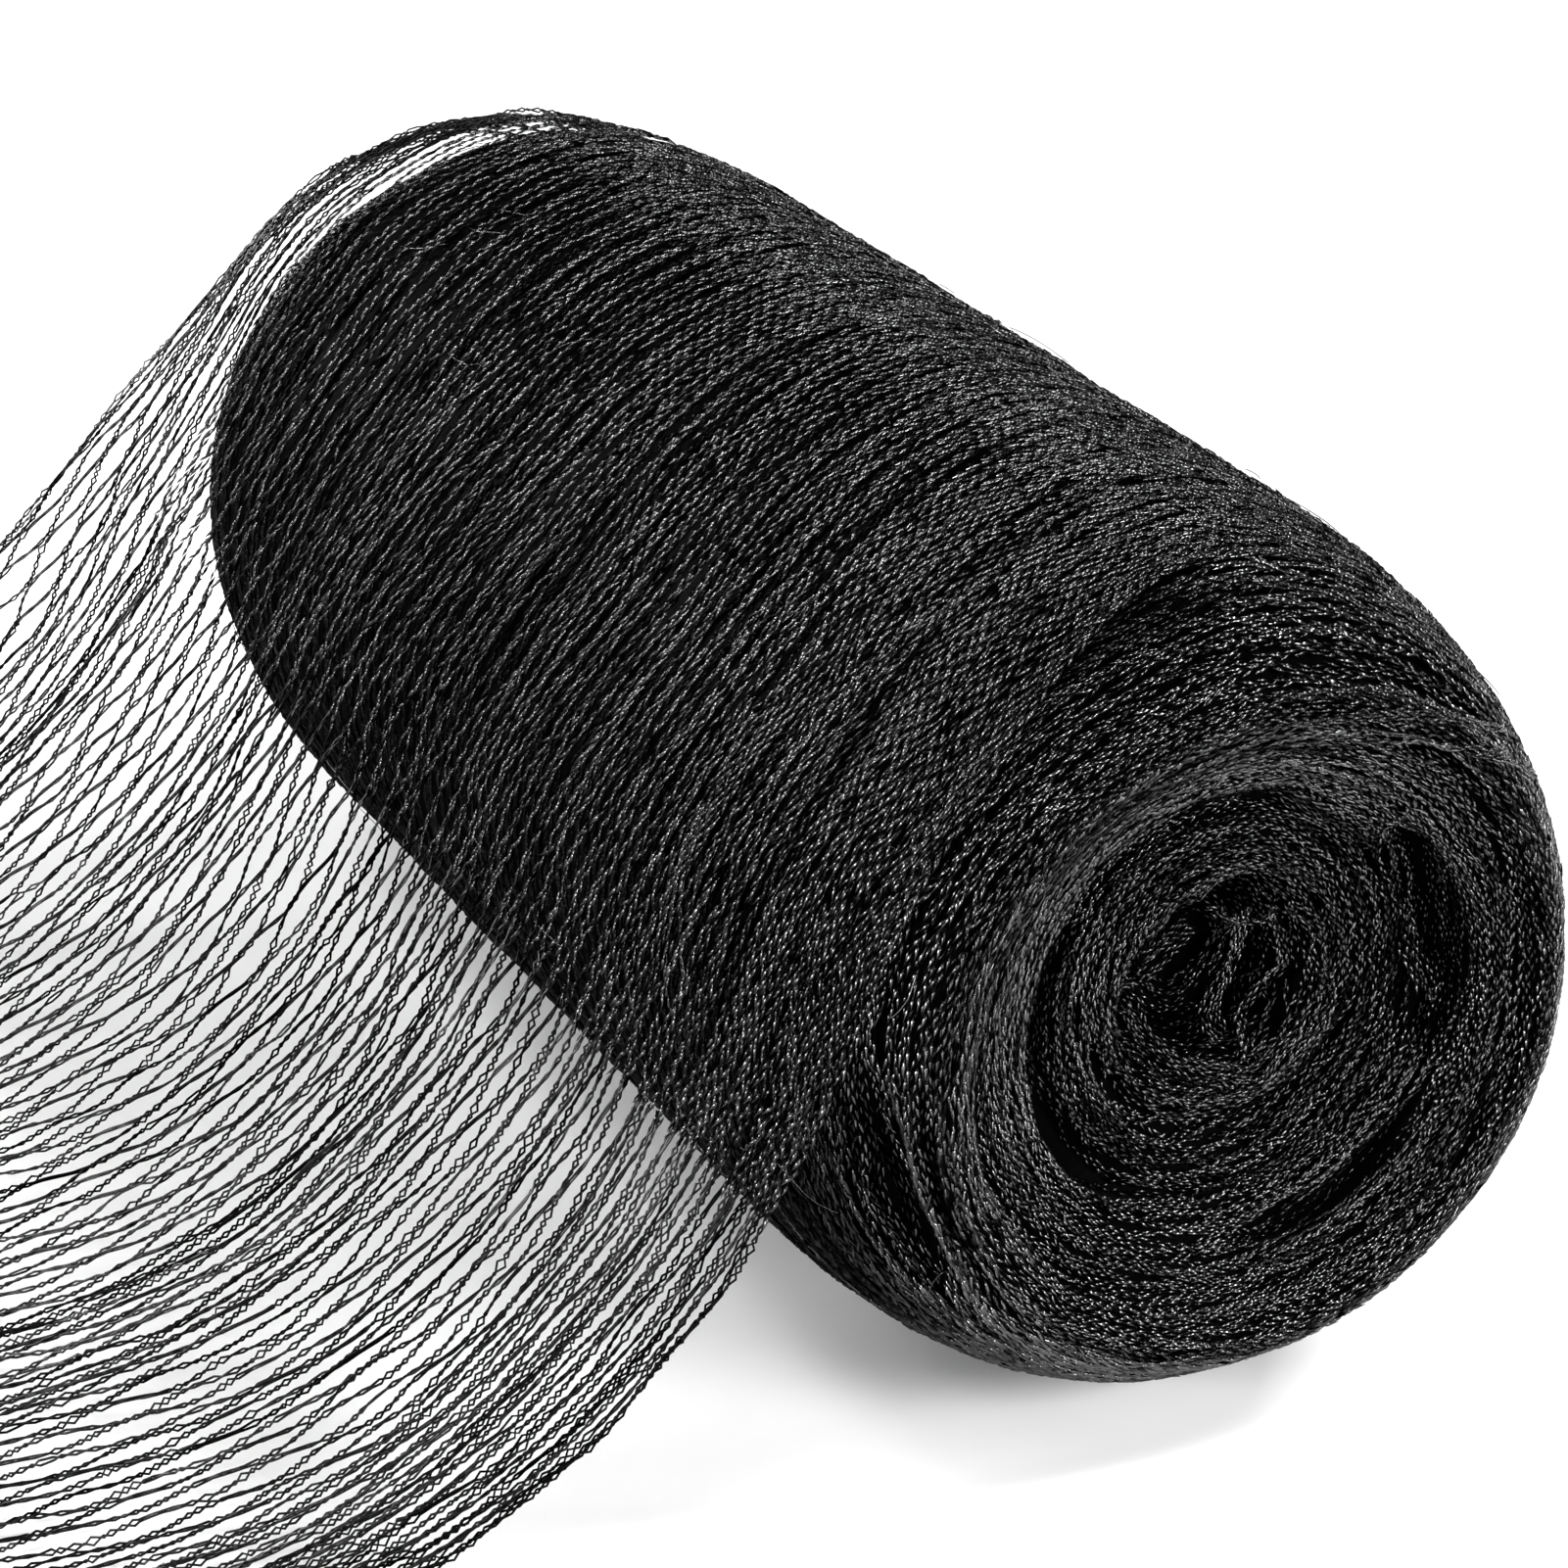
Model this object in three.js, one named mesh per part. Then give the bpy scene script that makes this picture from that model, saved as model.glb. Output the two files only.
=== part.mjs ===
// Roll of black knitted pond netting with its outer end paid out on to the floor.
// Millimetres, +Z up. The roll's axis runs along X at the height of its radius, the loose end
// falls towards -Y, and the origin is the middle of the flat spot that the roll rests on.
// Angles about the axis are in degrees from +Y towards +Z, so 90 is the top and 180 the front.

import * as THREE from 'three';

// Wound roll: a cylinder with rounded shoulders, each end dished towards its centre
const ROLL_RADIUS = 75;
const NEAR_END = { facing: 1, shoulderStart: 79, shoulderLength: 99, exponent: 2.8, dishDepth: 38 };
const FAR_END = { facing: -1, shoulderStart: -92, shoulderLength: 86, exponent: 2.7, dishDepth: 30 };
const DISH_RADIUS = 60;
const DISH_POWER = 4;

// The outer turn is a spiral that steps down by one layer where the loose end peels off
const LAYER = 2.8;
const PEEL_ANGLE = 80;
const STEP_HALF_ANGLE = 0.15;
const NET_START_ANGLE = PEEL_ANGLE + 0.6;
const LAYER_FADE = { from: 40, to: 60 };

// The soft underside spreads and is pressed flat by the floor
const UNDERSIDE = { angle: 270, reach: 55, bulge: 3.9 };

// The turns of the near end run about a centre that lies off the axis
const NEAR_CENTRE = { y: 4.5, z: 2.5, fullTo: 12, goneBy: 58 };

// Hollow middle of each end: rim radius, depth, and the twisted lobes inside it
const NEAR_HOLLOW = { radius: 14.5, depth: 15, lobes: 3, lobeShare: 0.4, twist: 9, rimWave: 0.12 };
const FAR_HOLLOW = { radius: 12, depth: 8, lobes: 2, lobeShare: 0.2, twist: 6, rimWave: 0.05 };
const HOLLOW_WALL = { from: 0.5, to: 1.2 };

// Grooves between the turns of the near end, and its folds and pleats:
// radius and angle where each starts and ends, depth, and half width
const NEAR_GROOVES = [
  { name: 'inner turn, left', r0: 33, a0: 150, r1: 35, a1: 245, depth: 5.5, half: 2.4 },
  { name: 'inner turn, below right', r0: 36, a0: 280, r1: 37, a1: 345, depth: 6.5, half: 2.4 },
  { name: 'pocket, right', r0: 37, a0: 335, r1: 34, a1: 420, depth: 9, half: 3.6 },
  { name: 'inner turn, above', r0: 32, a0: 55, r1: 32, a1: 165, depth: 2, half: 2.4 },
  { name: 'core turn', r0: 23, a0: 185, r1: 26, a1: 345, depth: 2.2, half: 2 },
  { name: 'outer turn, left', r0: 45, a0: 130, r1: 47, a1: 320, depth: 1.8, half: 2.2 },
  { name: 'outer turn, right', r0: 51, a0: 315, r1: 53, a1: 430, depth: 2.6, half: 2.4 },
  { name: 'fold above right', r0: 64, a0: 35, r1: 58, a1: 105, depth: 2.4, half: 2.2 },
  { name: 'outer pleat', r0: 64, a0: 168, r1: 62.5, a1: 226, depth: 5, half: 1.9 },
  { name: 'inner pleat', r0: 59, a0: 174, r1: 57.5, a1: 228, depth: 5, half: 1.9 },
];

// The hidden end has two plain turns
const FAR_GROOVES = [
  { name: 'inner turn', r0: 32, a0: 0, r1: 32, a1: 330, depth: 2, half: 3 },
  { name: 'outer turn', r0: 47, a0: 150, r1: 47, a1: 470, depth: 1.6, half: 3 },
];
const GROOVE_TAPER = 22;

// Facets of the roll
const COLUMNS_ROUND = 60;
const NEAR_FACE_RINGS = 23;
const FAR_FACE_RINGS = 10;
const SHOULDER_RINGS = 8;
const BARREL_RINGS = 4;

// Loose end: one layer of net that runs from the peel line over the roll's front to the floor
const NET_THICKNESS = 2;
const NET_FAR_EDGE = -172;
const NET_NEAR_EDGE = 148;
const NET_LENGTH = 310;
const NET_CLEARANCE = 1.05;
const FAR_STANDOFF_LENGTH = 110;

// Sections of the drape: the angle above the front at which the net leaves the roll, and the
// length over which its fall eases to level on the floor
const DRAPE = [
  { x: -172, leave: 46, ease: 120 },
  { x: -140, leave: 35, ease: 148 },
  { x: -105, leave: 29.5, ease: 165 },
  { x: -62, leave: 28.5, ease: 160 },
  { x: -22, leave: 30.5, ease: 166 },
  { x: 10, leave: 26, ease: 160 },
  { x: 45, leave: 26.5, ease: 164 },
  { x: 75, leave: 27, ease: 166 },
  { x: 100, leave: 22.5, ease: 158 },
  { x: 125, leave: 19.5, ease: 154 },
  { x: 148, leave: 16.5, ease: 158 },
];

// The net's gaps, long diamonds cut at about one and a half times the real pitch of 9 by 21.
// Both counts are even, so that the pattern's corners are alike.
const MESH_COLUMNS = 44;
const MESH_ROWS = 14;
const MESH_LEG = 2;
const MESH_JOINT = 4;
const MESH_START = 84;
const PLAIN_STEPS = 6;

const radians = THREE.MathUtils.degToRad;
const smooth = THREE.MathUtils.smoothstep;
const lerp = THREE.MathUtils.lerp;

// How far round the outer turn a point lies: 0 just behind the peel line, 1 just in front of it
function turnShare(angle) {
  return THREE.MathUtils.euclideanModulo(PEEL_ANGLE - angle, 360) / 360;
}

// Radius of the plain shoulder at a station along the axis
function shoulderRadius(end, x, length = end.shoulderLength) {
  const along = Math.min(Math.max((end.facing * (x - end.shoulderStart)) / length, 0), 1);
  return ROLL_RADIUS * (1 - along ** end.exponent) ** (1 / end.exponent);
}

// Station of an end's surface at a radius: the shoulder's curve, less the dish
function endStation(end, radius) {
  const rise = (1 - Math.min(radius / ROLL_RADIUS, 1) ** end.exponent) ** (1 / end.exponent);
  const dish = Math.max(1 - (radius / DISH_RADIUS) ** DISH_POWER, 0) ** 2;
  return end.shoulderStart + end.facing * (end.shoulderLength * rise - end.dishDepth * dish);
}

// Share of a layer that the spiral has stepped down at a radius and angle
function layerDrop(radius, angle) {
  return LAYER * turnShare(angle) * smooth(radius, LAYER_FADE.from, LAYER_FADE.to);
}

function grooveDepth(groove, radius, angle) {
  const middle = (groove.a0 + groove.a1) / 2;
  const turned = middle + THREE.MathUtils.euclideanModulo(angle - middle + 180, 360) - 180;
  const window = smooth(turned, groove.a0, groove.a0 + GROOVE_TAPER)
    * (1 - smooth(turned, groove.a1 - GROOVE_TAPER, groove.a1));
  const line = lerp(groove.r0, groove.r1, (turned - groove.a0) / (groove.a1 - groove.a0));
  return groove.depth * window * Math.exp(-(((radius - line) / groove.half) ** 2));
}

function hollowDepth(hollow, radius, angle) {
  const turn = radians(angle);
  const rim = hollow.radius * (1 + hollow.rimWave * Math.cos(2 * turn - 1));
  const wall = 1 - smooth(radius / rim, HOLLOW_WALL.from, HOLLOW_WALL.to);
  const swirl = hollow.lobes * turn - radius / hollow.twist;
  const lobe = hollow.lobeShare * Math.min(radius / hollow.radius, 1) * (0.5 + 0.5 * Math.cos(swirl));
  return hollow.depth * wall * (1 - lobe);
}

// One point of the roll's skin. Relief goes in along the skin's own slope.
function rollPoint(profile, angle) {
  const { end, radius, x, slope } = profile;
  const near = end === NEAR_END;
  let relief = 0;
  if (end) {
    const grooves = near ? NEAR_GROOVES : FAR_GROOVES;
    for (const groove of grooves) relief += grooveDepth(groove, radius, angle);
    relief += hollowDepth(near ? NEAR_HOLLOW : FAR_HOLLOW, radius, angle);
  }
  const fromUnder = Math.abs(THREE.MathUtils.euclideanModulo(angle - UNDERSIDE.angle + 180, 360) - 180);
  const spread = UNDERSIDE.bulge * (1 - smooth(fromUnder, 0, UNDERSIDE.reach))
    * smooth(radius, DISH_RADIUS, ROLL_RADIUS);
  const reach = radius - layerDrop(radius, angle) - relief * Math.cos(slope) + spread;
  const offCentre = near ? 1 - smooth(radius, NEAR_CENTRE.fullTo, NEAR_CENTRE.goneBy) : 0;
  const turn = radians(angle);
  const y = reach * Math.cos(turn) + NEAR_CENTRE.y * offCentre;
  const z = ROLL_RADIUS + reach * Math.sin(turn) + NEAR_CENTRE.z * offCentre;
  const inward = end ? end.facing * relief * Math.sin(slope) : 0;
  return new THREE.Vector3(x - inward, y, Math.max(z, 0));
}

// Stations of one end, from its centre to the start of the barrel. The slope is the angle
// between the skin's outward normal and the radius.
function endProfile(end, faceRings) {
  const radii = [];
  for (let k = 0; k < faceRings; k += 1) radii.push((DISH_RADIUS * k) / faceRings);
  const rimTurn = Math.acos((DISH_RADIUS / ROLL_RADIUS) ** (end.exponent / 2));
  for (let k = 0; k <= SHOULDER_RINGS; k += 1) {
    const turn = rimTurn * (1 - k / SHOULDER_RINGS);
    radii.push(ROLL_RADIUS * Math.cos(turn) ** (2 / end.exponent));
  }
  return radii.map((radius) => {
    const x = endStation(end, radius);
    const probe = 0.2;
    const inner = endStation(end, Math.max(radius - probe, 0));
    const outer = endStation(end, Math.min(radius + probe, ROLL_RADIUS));
    const fall = (end.facing * (inner - outer)) / (2 * probe);
    return { end, radius, x, slope: Math.PI / 2 - Math.atan(fall) };
  });
}

function rollProfile() {
  const near = endProfile(NEAR_END, NEAR_FACE_RINGS);
  const far = endProfile(FAR_END, FAR_FACE_RINGS).reverse();
  const barrel = [];
  for (let k = 1; k < BARREL_RINGS; k += 1) {
    const x = lerp(NEAR_END.shoulderStart, FAR_END.shoulderStart, k / BARREL_RINGS);
    barrel.push({ end: null, radius: ROLL_RADIUS, x, slope: 0 });
  }
  return [...near, ...barrel, ...far];
}

// Columns round the roll, both sides of the peel step included
function roundAngles() {
  const angles = [];
  const span = 360 - 2 * STEP_HALF_ANGLE;
  for (let k = 0; k <= COLUMNS_ROUND; k += 1) {
    angles.push(PEEL_ANGLE - STEP_HALF_ANGLE - (span * k) / COLUMNS_ROUND);
  }
  return angles;
}

function geometryFrom(points, triangles) {
  const geometry = new THREE.BufferGeometry().setFromPoints(points);
  geometry.setIndex(triangles);
  geometry.computeVertexNormals();
  return geometry;
}

function woundRollGeometry() {
  const profile = rollProfile();
  const angles = roundAngles();
  const columns = angles.length;
  const rings = profile.slice(1, -1);
  const points = rings.flatMap((station) => angles.map((angle) => rollPoint(station, angle)));
  const nearPole = points.push(rollPoint(profile[0], PEEL_ANGLE)) - 1;
  const farPole = points.push(rollPoint(profile.at(-1), PEEL_ANGLE)) - 1;
  const triangles = [];
  const last = (rings.length - 1) * columns;
  for (let c = 0; c < columns; c += 1) {
    const next = (c + 1) % columns;
    triangles.push(nearPole, next, c);
    triangles.push(farPole, last + c, last + next);
    for (let base = 0; base < last; base += columns) {
      triangles.push(base + c, base + next, base + columns + c);
      triangles.push(base + next, base + columns + next, base + columns + c);
    }
  }
  return geometryFrom(points, triangles);
}

// Values of the drape table at a station, eased from row to row
function drapeAt(x) {
  const row = Math.max(DRAPE.findIndex((section) => section.x >= x), 1);
  const [from, to] = [DRAPE[row - 1], DRAPE[row]];
  const share = smooth(x, from.x, to.x);
  return { leave: lerp(from.leave, to.leave, share), ease: lerp(from.ease, to.ease, share) };
}

// Radius of the net's underside about the axis: on the roll, or standing off its far shoulder
function netRadius(x, angle) {
  const far = x < FAR_END.shoulderStart;
  const roll = shoulderRadius(far ? FAR_END : NEAR_END, x);
  const onRoll = roll - layerDrop(roll, angle) + NET_CLEARANCE;
  if (!far) return onRoll;
  const standing = shoulderRadius(FAR_END, x, FAR_STANDOFF_LENGTH) - layerDrop(ROLL_RADIUS, angle);
  return Math.max(onRoll, standing + NET_CLEARANCE);
}

// Underside of the net at a station and at a length along its strands from the peel line
function netUnderside(x, along) {
  const { leave, ease } = drapeAt(x);
  const leaveAngle = 180 - leave;
  const startRadius = netRadius(x, NET_START_ANGLE);
  const onRoll = startRadius * radians(leaveAngle - NET_START_ANGLE);
  if (along < onRoll) {
    const angle = lerp(NET_START_ANGLE, leaveAngle, along / onRoll);
    const radius = netRadius(x, angle);
    const turn = radians(angle);
    return new THREE.Vector3(x, radius * Math.cos(turn), ROLL_RADIUS + radius * Math.sin(turn));
  }
  const leaveRadius = netRadius(x, leaveAngle);
  const height = ROLL_RADIUS + leaveRadius * Math.sin(radians(leave));
  const pitch = radians(90 - leave);
  const bend = Math.min(ease / pitch, height / (1 - Math.cos(pitch)));
  const straight = (height - bend * (1 - Math.cos(pitch))) / Math.sin(pitch);
  const free = along - onRoll;
  let y = -leaveRadius * Math.cos(radians(leave)) - Math.min(free, straight) * Math.cos(pitch);
  if (free < straight) return new THREE.Vector3(x, y, height - free * Math.sin(pitch));
  const eased = Math.max(pitch - (free - straight) / bend, 0);
  const level = Math.max(free - straight - bend * pitch, 0);
  y -= bend * (Math.sin(pitch) - Math.sin(eased)) + level;
  return new THREE.Vector3(x, y, bend * (1 - Math.cos(eased)));
}

// A point of the net at a depth above its underside
function netPoint(x, along, depth) {
  const probe = 0.5;
  const base = netUnderside(x, along);
  const across = netUnderside(Math.min(x + probe, NET_NEAR_EDGE), along)
    .sub(netUnderside(Math.max(x - probe, NET_FAR_EDGE), along));
  const down = netUnderside(x, along + probe).sub(netUnderside(x, Math.max(along - probe, 0)));
  return base.addScaledVector(down.cross(across).normalize(), depth);
}

// The four corners of a gap's place in the net, each a point of station and length along.
// Those of the outer columns are held to the net's edges.
function gapCorners(column, row) {
  const width = (NET_NEAR_EDGE - NET_FAR_EDGE) / MESH_COLUMNS;
  const length = (NET_LENGTH - MESH_START) / MESH_ROWS;
  const halfWidth = width - MESH_LEG;
  const halfLength = length - MESH_JOINT / 2;
  const x = NET_FAR_EDGE + column * width;
  const along = MESH_START + row * length;
  return {
    left: new THREE.Vector2(Math.max(x - halfWidth, NET_FAR_EDGE), along),
    right: new THREE.Vector2(Math.min(x + halfWidth, NET_NEAR_EDGE), along),
    head: new THREE.Vector2(x, along - halfLength),
    foot: new THREE.Vector2(x, along + halfLength),
  };
}

// The places of the gaps alternate from row to row. Those on the border are filled.
function isGapPlace(column, row) {
  const inside = column >= 0 && column <= MESH_COLUMNS && row >= 0 && row <= MESH_ROWS;
  return inside && (column + row) % 2 === 0;
}

function isFilled(column, row) {
  return column === 0 || column === MESH_COLUMNS || row === 0 || row === MESH_ROWS;
}

// Solid pieces of the net about one place of the pattern: the fill and the legs that run down
// from a gap's place, or else the joint between the four gaps around it
function netPieces(column, row) {
  if (!isGapPlace(column, row)) {
    const around = [[0, -1, 'foot'], [-1, 0, 'right'], [0, 1, 'head'], [1, 0, 'left']];
    return [around
      .filter(([across, down]) => isGapPlace(column + across, row + down))
      .map(([across, down, corner]) => gapCorners(column + across, row + down)[corner])];
  }
  const here = gapCorners(column, row);
  const pieces = [];
  if (isFilled(column, row)) {
    const outline = column === 0 ? ['right', 'head', 'left', 'foot'] : ['left', 'foot', 'right', 'head'];
    const kept = outline.filter((corner) => !(row === 0 && corner === 'head')
      && !(row === MESH_ROWS && corner === 'foot'));
    pieces.push(kept.map((corner) => here[corner]));
  }
  if (isGapPlace(column + 1, row + 1)) {
    const next = gapCorners(column + 1, row + 1);
    pieces.push([here.right, next.head, next.left, here.foot]);
  }
  if (isGapPlace(column - 1, row + 1)) {
    const next = gapCorners(column - 1, row + 1);
    pieces.push([here.left, next.head, next.right, here.foot]);
  }
  return pieces;
}

// The uncut part that lies on the roll, in columns that meet the cut part point to point
function plainPieces() {
  const stations = [];
  for (let column = 0; column <= MESH_COLUMNS; column += 2) {
    const { left, right } = gapCorners(column, 0);
    stations.push(left.x, right.x);
  }
  const pieces = [];
  for (let step = 0; step < PLAIN_STEPS; step += 1) {
    const [from, to] = [step, step + 1].map((k) => (MESH_START * k) / PLAIN_STEPS);
    for (let k = 1; k < stations.length; k += 1) {
      const [a, b] = [stations[k - 1], stations[k]];
      pieces.push([[a, from], [b, from], [b, to], [a, to]].map((at) => new THREE.Vector2(...at)));
    }
  }
  return pieces;
}

// Flat pattern of the whole loose end, as shared points and triangles that all turn one way
function netPattern() {
  const pieces = plainPieces();
  for (let row = 0; row <= MESH_ROWS; row += 1) {
    for (let column = 0; column <= MESH_COLUMNS; column += 1) {
      pieces.push(...netPieces(column, row));
    }
  }
  const points = [];
  const known = new Map();
  const indexOf = (point) => {
    const key = `${point.x.toFixed(3)},${point.y.toFixed(3)}`;
    if (!known.has(key)) known.set(key, points.push(point) - 1);
    return known.get(key);
  };
  const triangles = [];
  for (const piece of pieces) {
    const [apex, ...rest] = piece.map(indexOf);
    if (THREE.ShapeUtils.isClockWise(piece)) rest.reverse();
    for (let k = 1; k < rest.length; k += 1) triangles.push([apex, rest[k - 1], rest[k]]);
  }
  return { points, triangles };
}

// Closed solid of a flat pattern laid on the drape: underside, upper side, and a wall on each
// edge that only one triangle uses
function looseEndGeometry() {
  const { points, triangles } = netPattern();
  const under = points.map((point) => netPoint(point.x, point.y, 0));
  const upper = points.map((point) => netPoint(point.x, point.y, NET_THICKNESS));
  const offset = points.length;
  const faces = [];
  const edges = new Map();
  for (const [a, b, c] of triangles) {
    faces.push(a, b, c, offset + a, offset + c, offset + b);
    for (const [from, to] of [[a, b], [b, c], [c, a]]) {
      if (!edges.delete(`${to},${from}`)) edges.set(`${from},${to}`, [from, to]);
    }
  }
  for (const [from, to] of edges.values()) {
    faces.push(from, offset + from, to, to, offset + from, offset + to);
  }
  return geometryFrom([...under, ...upper], faces);
}

function named(name, geometry, material) {
  const mesh = new THREE.Mesh(geometry, material);
  mesh.name = name;
  return mesh;
}

const rollBlack = new THREE.MeshStandardMaterial({ color: 0x161718, roughness: 0.6, metalness: 0 });
const netBlack = new THREE.MeshStandardMaterial({ color: 0x1d1e1f, roughness: 0.5, metalness: 0 });

const pondNetRoll = new THREE.Group();
pondNetRoll.add(named('wound_roll', woundRollGeometry(), rollBlack));
pondNetRoll.add(named('loose_end', looseEndGeometry(), netBlack));

export default pondNetRoll;
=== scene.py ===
# Looks of a roll of black knitted pond netting whose outer end is paid out on to the floor.
# Sizes are in millimetres, in the part's own frame, until a mesh is made of them. The roll's axis
# runs along X at the height of its radius, the loose end falls towards -Y, and the floor is z = 0.
# Angles about the axis are in degrees from +Y towards +Z, so 90 is the top and 180 the front.
# A pair named OVER is the stretch over which a change comes in, and GONE_OVER where it goes again.

import bpy
import numpy as np
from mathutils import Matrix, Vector


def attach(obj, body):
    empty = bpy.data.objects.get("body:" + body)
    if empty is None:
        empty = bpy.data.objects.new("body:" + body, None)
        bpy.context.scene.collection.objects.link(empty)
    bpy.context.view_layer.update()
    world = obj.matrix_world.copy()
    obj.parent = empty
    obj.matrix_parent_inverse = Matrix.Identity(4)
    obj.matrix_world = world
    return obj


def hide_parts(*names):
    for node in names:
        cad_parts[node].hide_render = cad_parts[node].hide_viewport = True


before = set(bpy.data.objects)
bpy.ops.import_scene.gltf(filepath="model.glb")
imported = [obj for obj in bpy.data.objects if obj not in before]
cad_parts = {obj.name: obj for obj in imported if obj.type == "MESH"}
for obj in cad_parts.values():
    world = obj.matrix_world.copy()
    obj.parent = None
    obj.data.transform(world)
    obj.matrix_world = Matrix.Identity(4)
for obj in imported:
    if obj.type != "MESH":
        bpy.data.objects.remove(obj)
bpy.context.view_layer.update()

MM = 0.001
SEED = 41
rng = np.random.default_rng(SEED)

# Camera, in metres, at the photograph's viewing angle
CAMERA_PLACE = (0.74004, -0.35680, 0.41497)
CAMERA_LOOKS = (-0.82844, 0.39261, -0.39944)
CAMERA_LENS = 112.43
CAMERA_SENSOR = 36
CAMERA_NEAREST = 0.01

# Floor and lights, in metres and watts
FLOOR_SIZE = 8
FLOOR_SHADES = (0.65, 0.67)
FLOOR_ROUGHNESS = 0.6
FLOOR_SHINE = 0.2
WORLD_STRENGTH = 0.02
LIGHT_TARGET = (0, 0, 0.07)

# Lights: name, place, size and power
LIGHTS = [
    ("low front", (0.5, -1.5, 0.4), 0.5, 50),
    ("low left", (-0.6, -1.8, 0.3), 0.8, 8),
    ("near end", (1.7, 0.4, 0.8), 0.45, 18),
    ("near end, right", (1.6, 0.72, 0.75), 0.5, 37),
    ("far end", (-1.5, -0.8, 0.8), 0.6, 31),
    ("upper left", (-0.6, -0.7, 1.6), 0.5, 24),
    ("upper right", (0.5, 1, 1.4), 0.5, 41),
]

# Black polyethylene: colour of the darkest and the palest strands, least and most roughness and shine
WOUND_FILAMENT = {"dark": 0.0001, "pale": 0.0024, "rough": (0.15, 0.32), "shine": (0, 1)}
# The under layer's material is almost black and without shine: painted shade beneath the turns
UNDER_PAINTED_SHADE_FILAMENT = {"dark": 0.0001, "pale": 0.0004, "rough": (0.5, 0.7), "shine": (0, 0.02)}
LOOSE_FILAMENT = {"dark": 0.0001, "pale": 0.0024, "rough": (0.18, 0.36), "shine": (0, 1)}
FILAMENT_IOR = 1.62
BLUE_IN_DARK = 1.04
BLUE_IN_PALE = 1.03
STRAND_SHARE = 0.6
PATCH_SHARE = 0.4
PATCH_SCALE = 60
FINE_SCALE = 900
CLOUD_SCALE = 14

# Form of the wound roll, as in the part
ROLL_RADIUS = 75
NEAR_END = {"facing": 1, "start": 79, "length": 99, "exponent": 2.8, "dish": 38}
FAR_END = {"facing": -1, "start": -92, "length": 86, "exponent": 2.7, "dish": 30}
DISH_RADIUS = 60
DISH_POWER = 4
LAYER = 2.8
PEEL_ANGLE = 80
PEEL_EASE = 0.9
LAYER_OVER = (40, 60)
UNDERSIDE = {"angle": 270, "reach": 55, "bulge": 3.9}
NEAR_CENTRE = {"y": 4.5, "z": 2.5, "full_to": 12, "gone_by": 58}
NEAR_HOLLOW = {"radius": 16.5, "depth": 15, "lobes": 3, "lobe_share": 0.4, "twist": 9, "rim_wave": 0.12}
FAR_HOLLOW = {"radius": 12, "depth": 8, "lobes": 2, "lobe_share": 0.2, "twist": 6, "rim_wave": 0.05}
HOLLOW_WALL = (0.5, 1.2)
RIM_LOBES = 2
RIM_PHASE = 1
GROOVE_TAPER = 22

# Grooves of each end: radius and angle where a groove starts and ends, its depth and half width
NEAR_GROOVES = [
    {"name": "inner turn, left", "r0": 31, "a0": 145, "r1": 34, "a1": 250, "depth": 5, "half": 1.8},
    {"name": "low right turn", "r0": 41, "a0": 268, "r1": 42, "a1": 338, "depth": 6.5, "half": 1.6},
    {"name": "pocket, right", "r0": 38.5, "a0": 330, "r1": 36.5, "a1": 405, "depth": 9, "half": 4.2},
    {"name": "inner turn, above", "r0": 32, "a0": 55, "r1": 32, "a1": 165, "depth": 2, "half": 2.4},
    {"name": "core turn", "r0": 23, "a0": 185, "r1": 26, "a1": 345, "depth": 2.2, "half": 2},
    {"name": "outer turn, left", "r0": 45, "a0": 130, "r1": 47, "a1": 320, "depth": 1.8, "half": 2.2},
    {"name": "outer turn, right", "r0": 51, "a0": 315, "r1": 53, "a1": 430, "depth": 2.6, "half": 2.4},
    {"name": "fold above right", "r0": 64, "a0": 35, "r1": 58, "a1": 105, "depth": 2.4, "half": 2.2},
    {"name": "outer pleat", "r0": 64, "a0": 168, "r1": 62.5, "a1": 226, "depth": 5, "half": 1.9},
    {"name": "inner pleat", "r0": 59, "a0": 174, "r1": 57.5, "a1": 228, "depth": 5, "half": 1.9},
]
FAR_GROOVES = [
    {"name": "inner turn", "r0": 32, "a0": 0, "r1": 32, "a1": 330, "depth": 2, "half": 3},
    {"name": "outer turn", "r0": 47, "a0": 150, "r1": 47, "a1": 470, "depth": 1.6, "half": 3},
]

# Steps at which the roll's profile and its directions are measured
FACE_SAMPLES = 300
SHOULDER_SAMPLES = 240
PROFILE_PROBE = 0.2
SKIN_PROBE = 0.5

# Loose end, as in the part
NET_FAR_EDGE = -172
NET_NEAR_EDGE = 148
NET_LENGTH = 310
NET_THICKNESS = 2
NET_CLEARANCE = 1.05
NET_START_ANGLE = PEEL_ANGLE + 0.6
NET_SETTLES_BY = 48
FAR_STANDOFF_LENGTH = 110

# Drape: place across the net, angle above the front at which it leaves the roll, and the length in
# which it then turns level
DRAPE = [
    (-172, 46, 120),
    (-140, 35, 148),
    (-105, 29.5, 165),
    (-62, 28.5, 160),
    (-22, 30.5, 166),
    (10, 26, 160),
    (45, 26.5, 164),
    (75, 27, 166),
    (100, 22.5, 158),
    (125, 19.5, 154),
    (148, 16.5, 158),
]

# Wound strand: a cord of which the slanting legs of the stitches show. It is finer on the dished ends.
WOUND_STITCH = 1.5
LEG_LENGTH = 3.7
LEG_THICKNESS = 0.82
LEG_OFFSET = 0.32
LEG_SLANT = 8
LEG_SLANT_SPREAD = 7
LEG_TILT = 0.08
LEG_TILT_SPREAD = 0.1
LEG_SIZE_SPREAD = 0.12
LEG_SHADE_SPREAD = 0.55
FACE_OVER = (44, 60)
FACE_SIZE = 0.72
FACE_SLANT_SPREAD = 9
FACE_STITCH = WOUND_STITCH * FACE_SIZE

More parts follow.
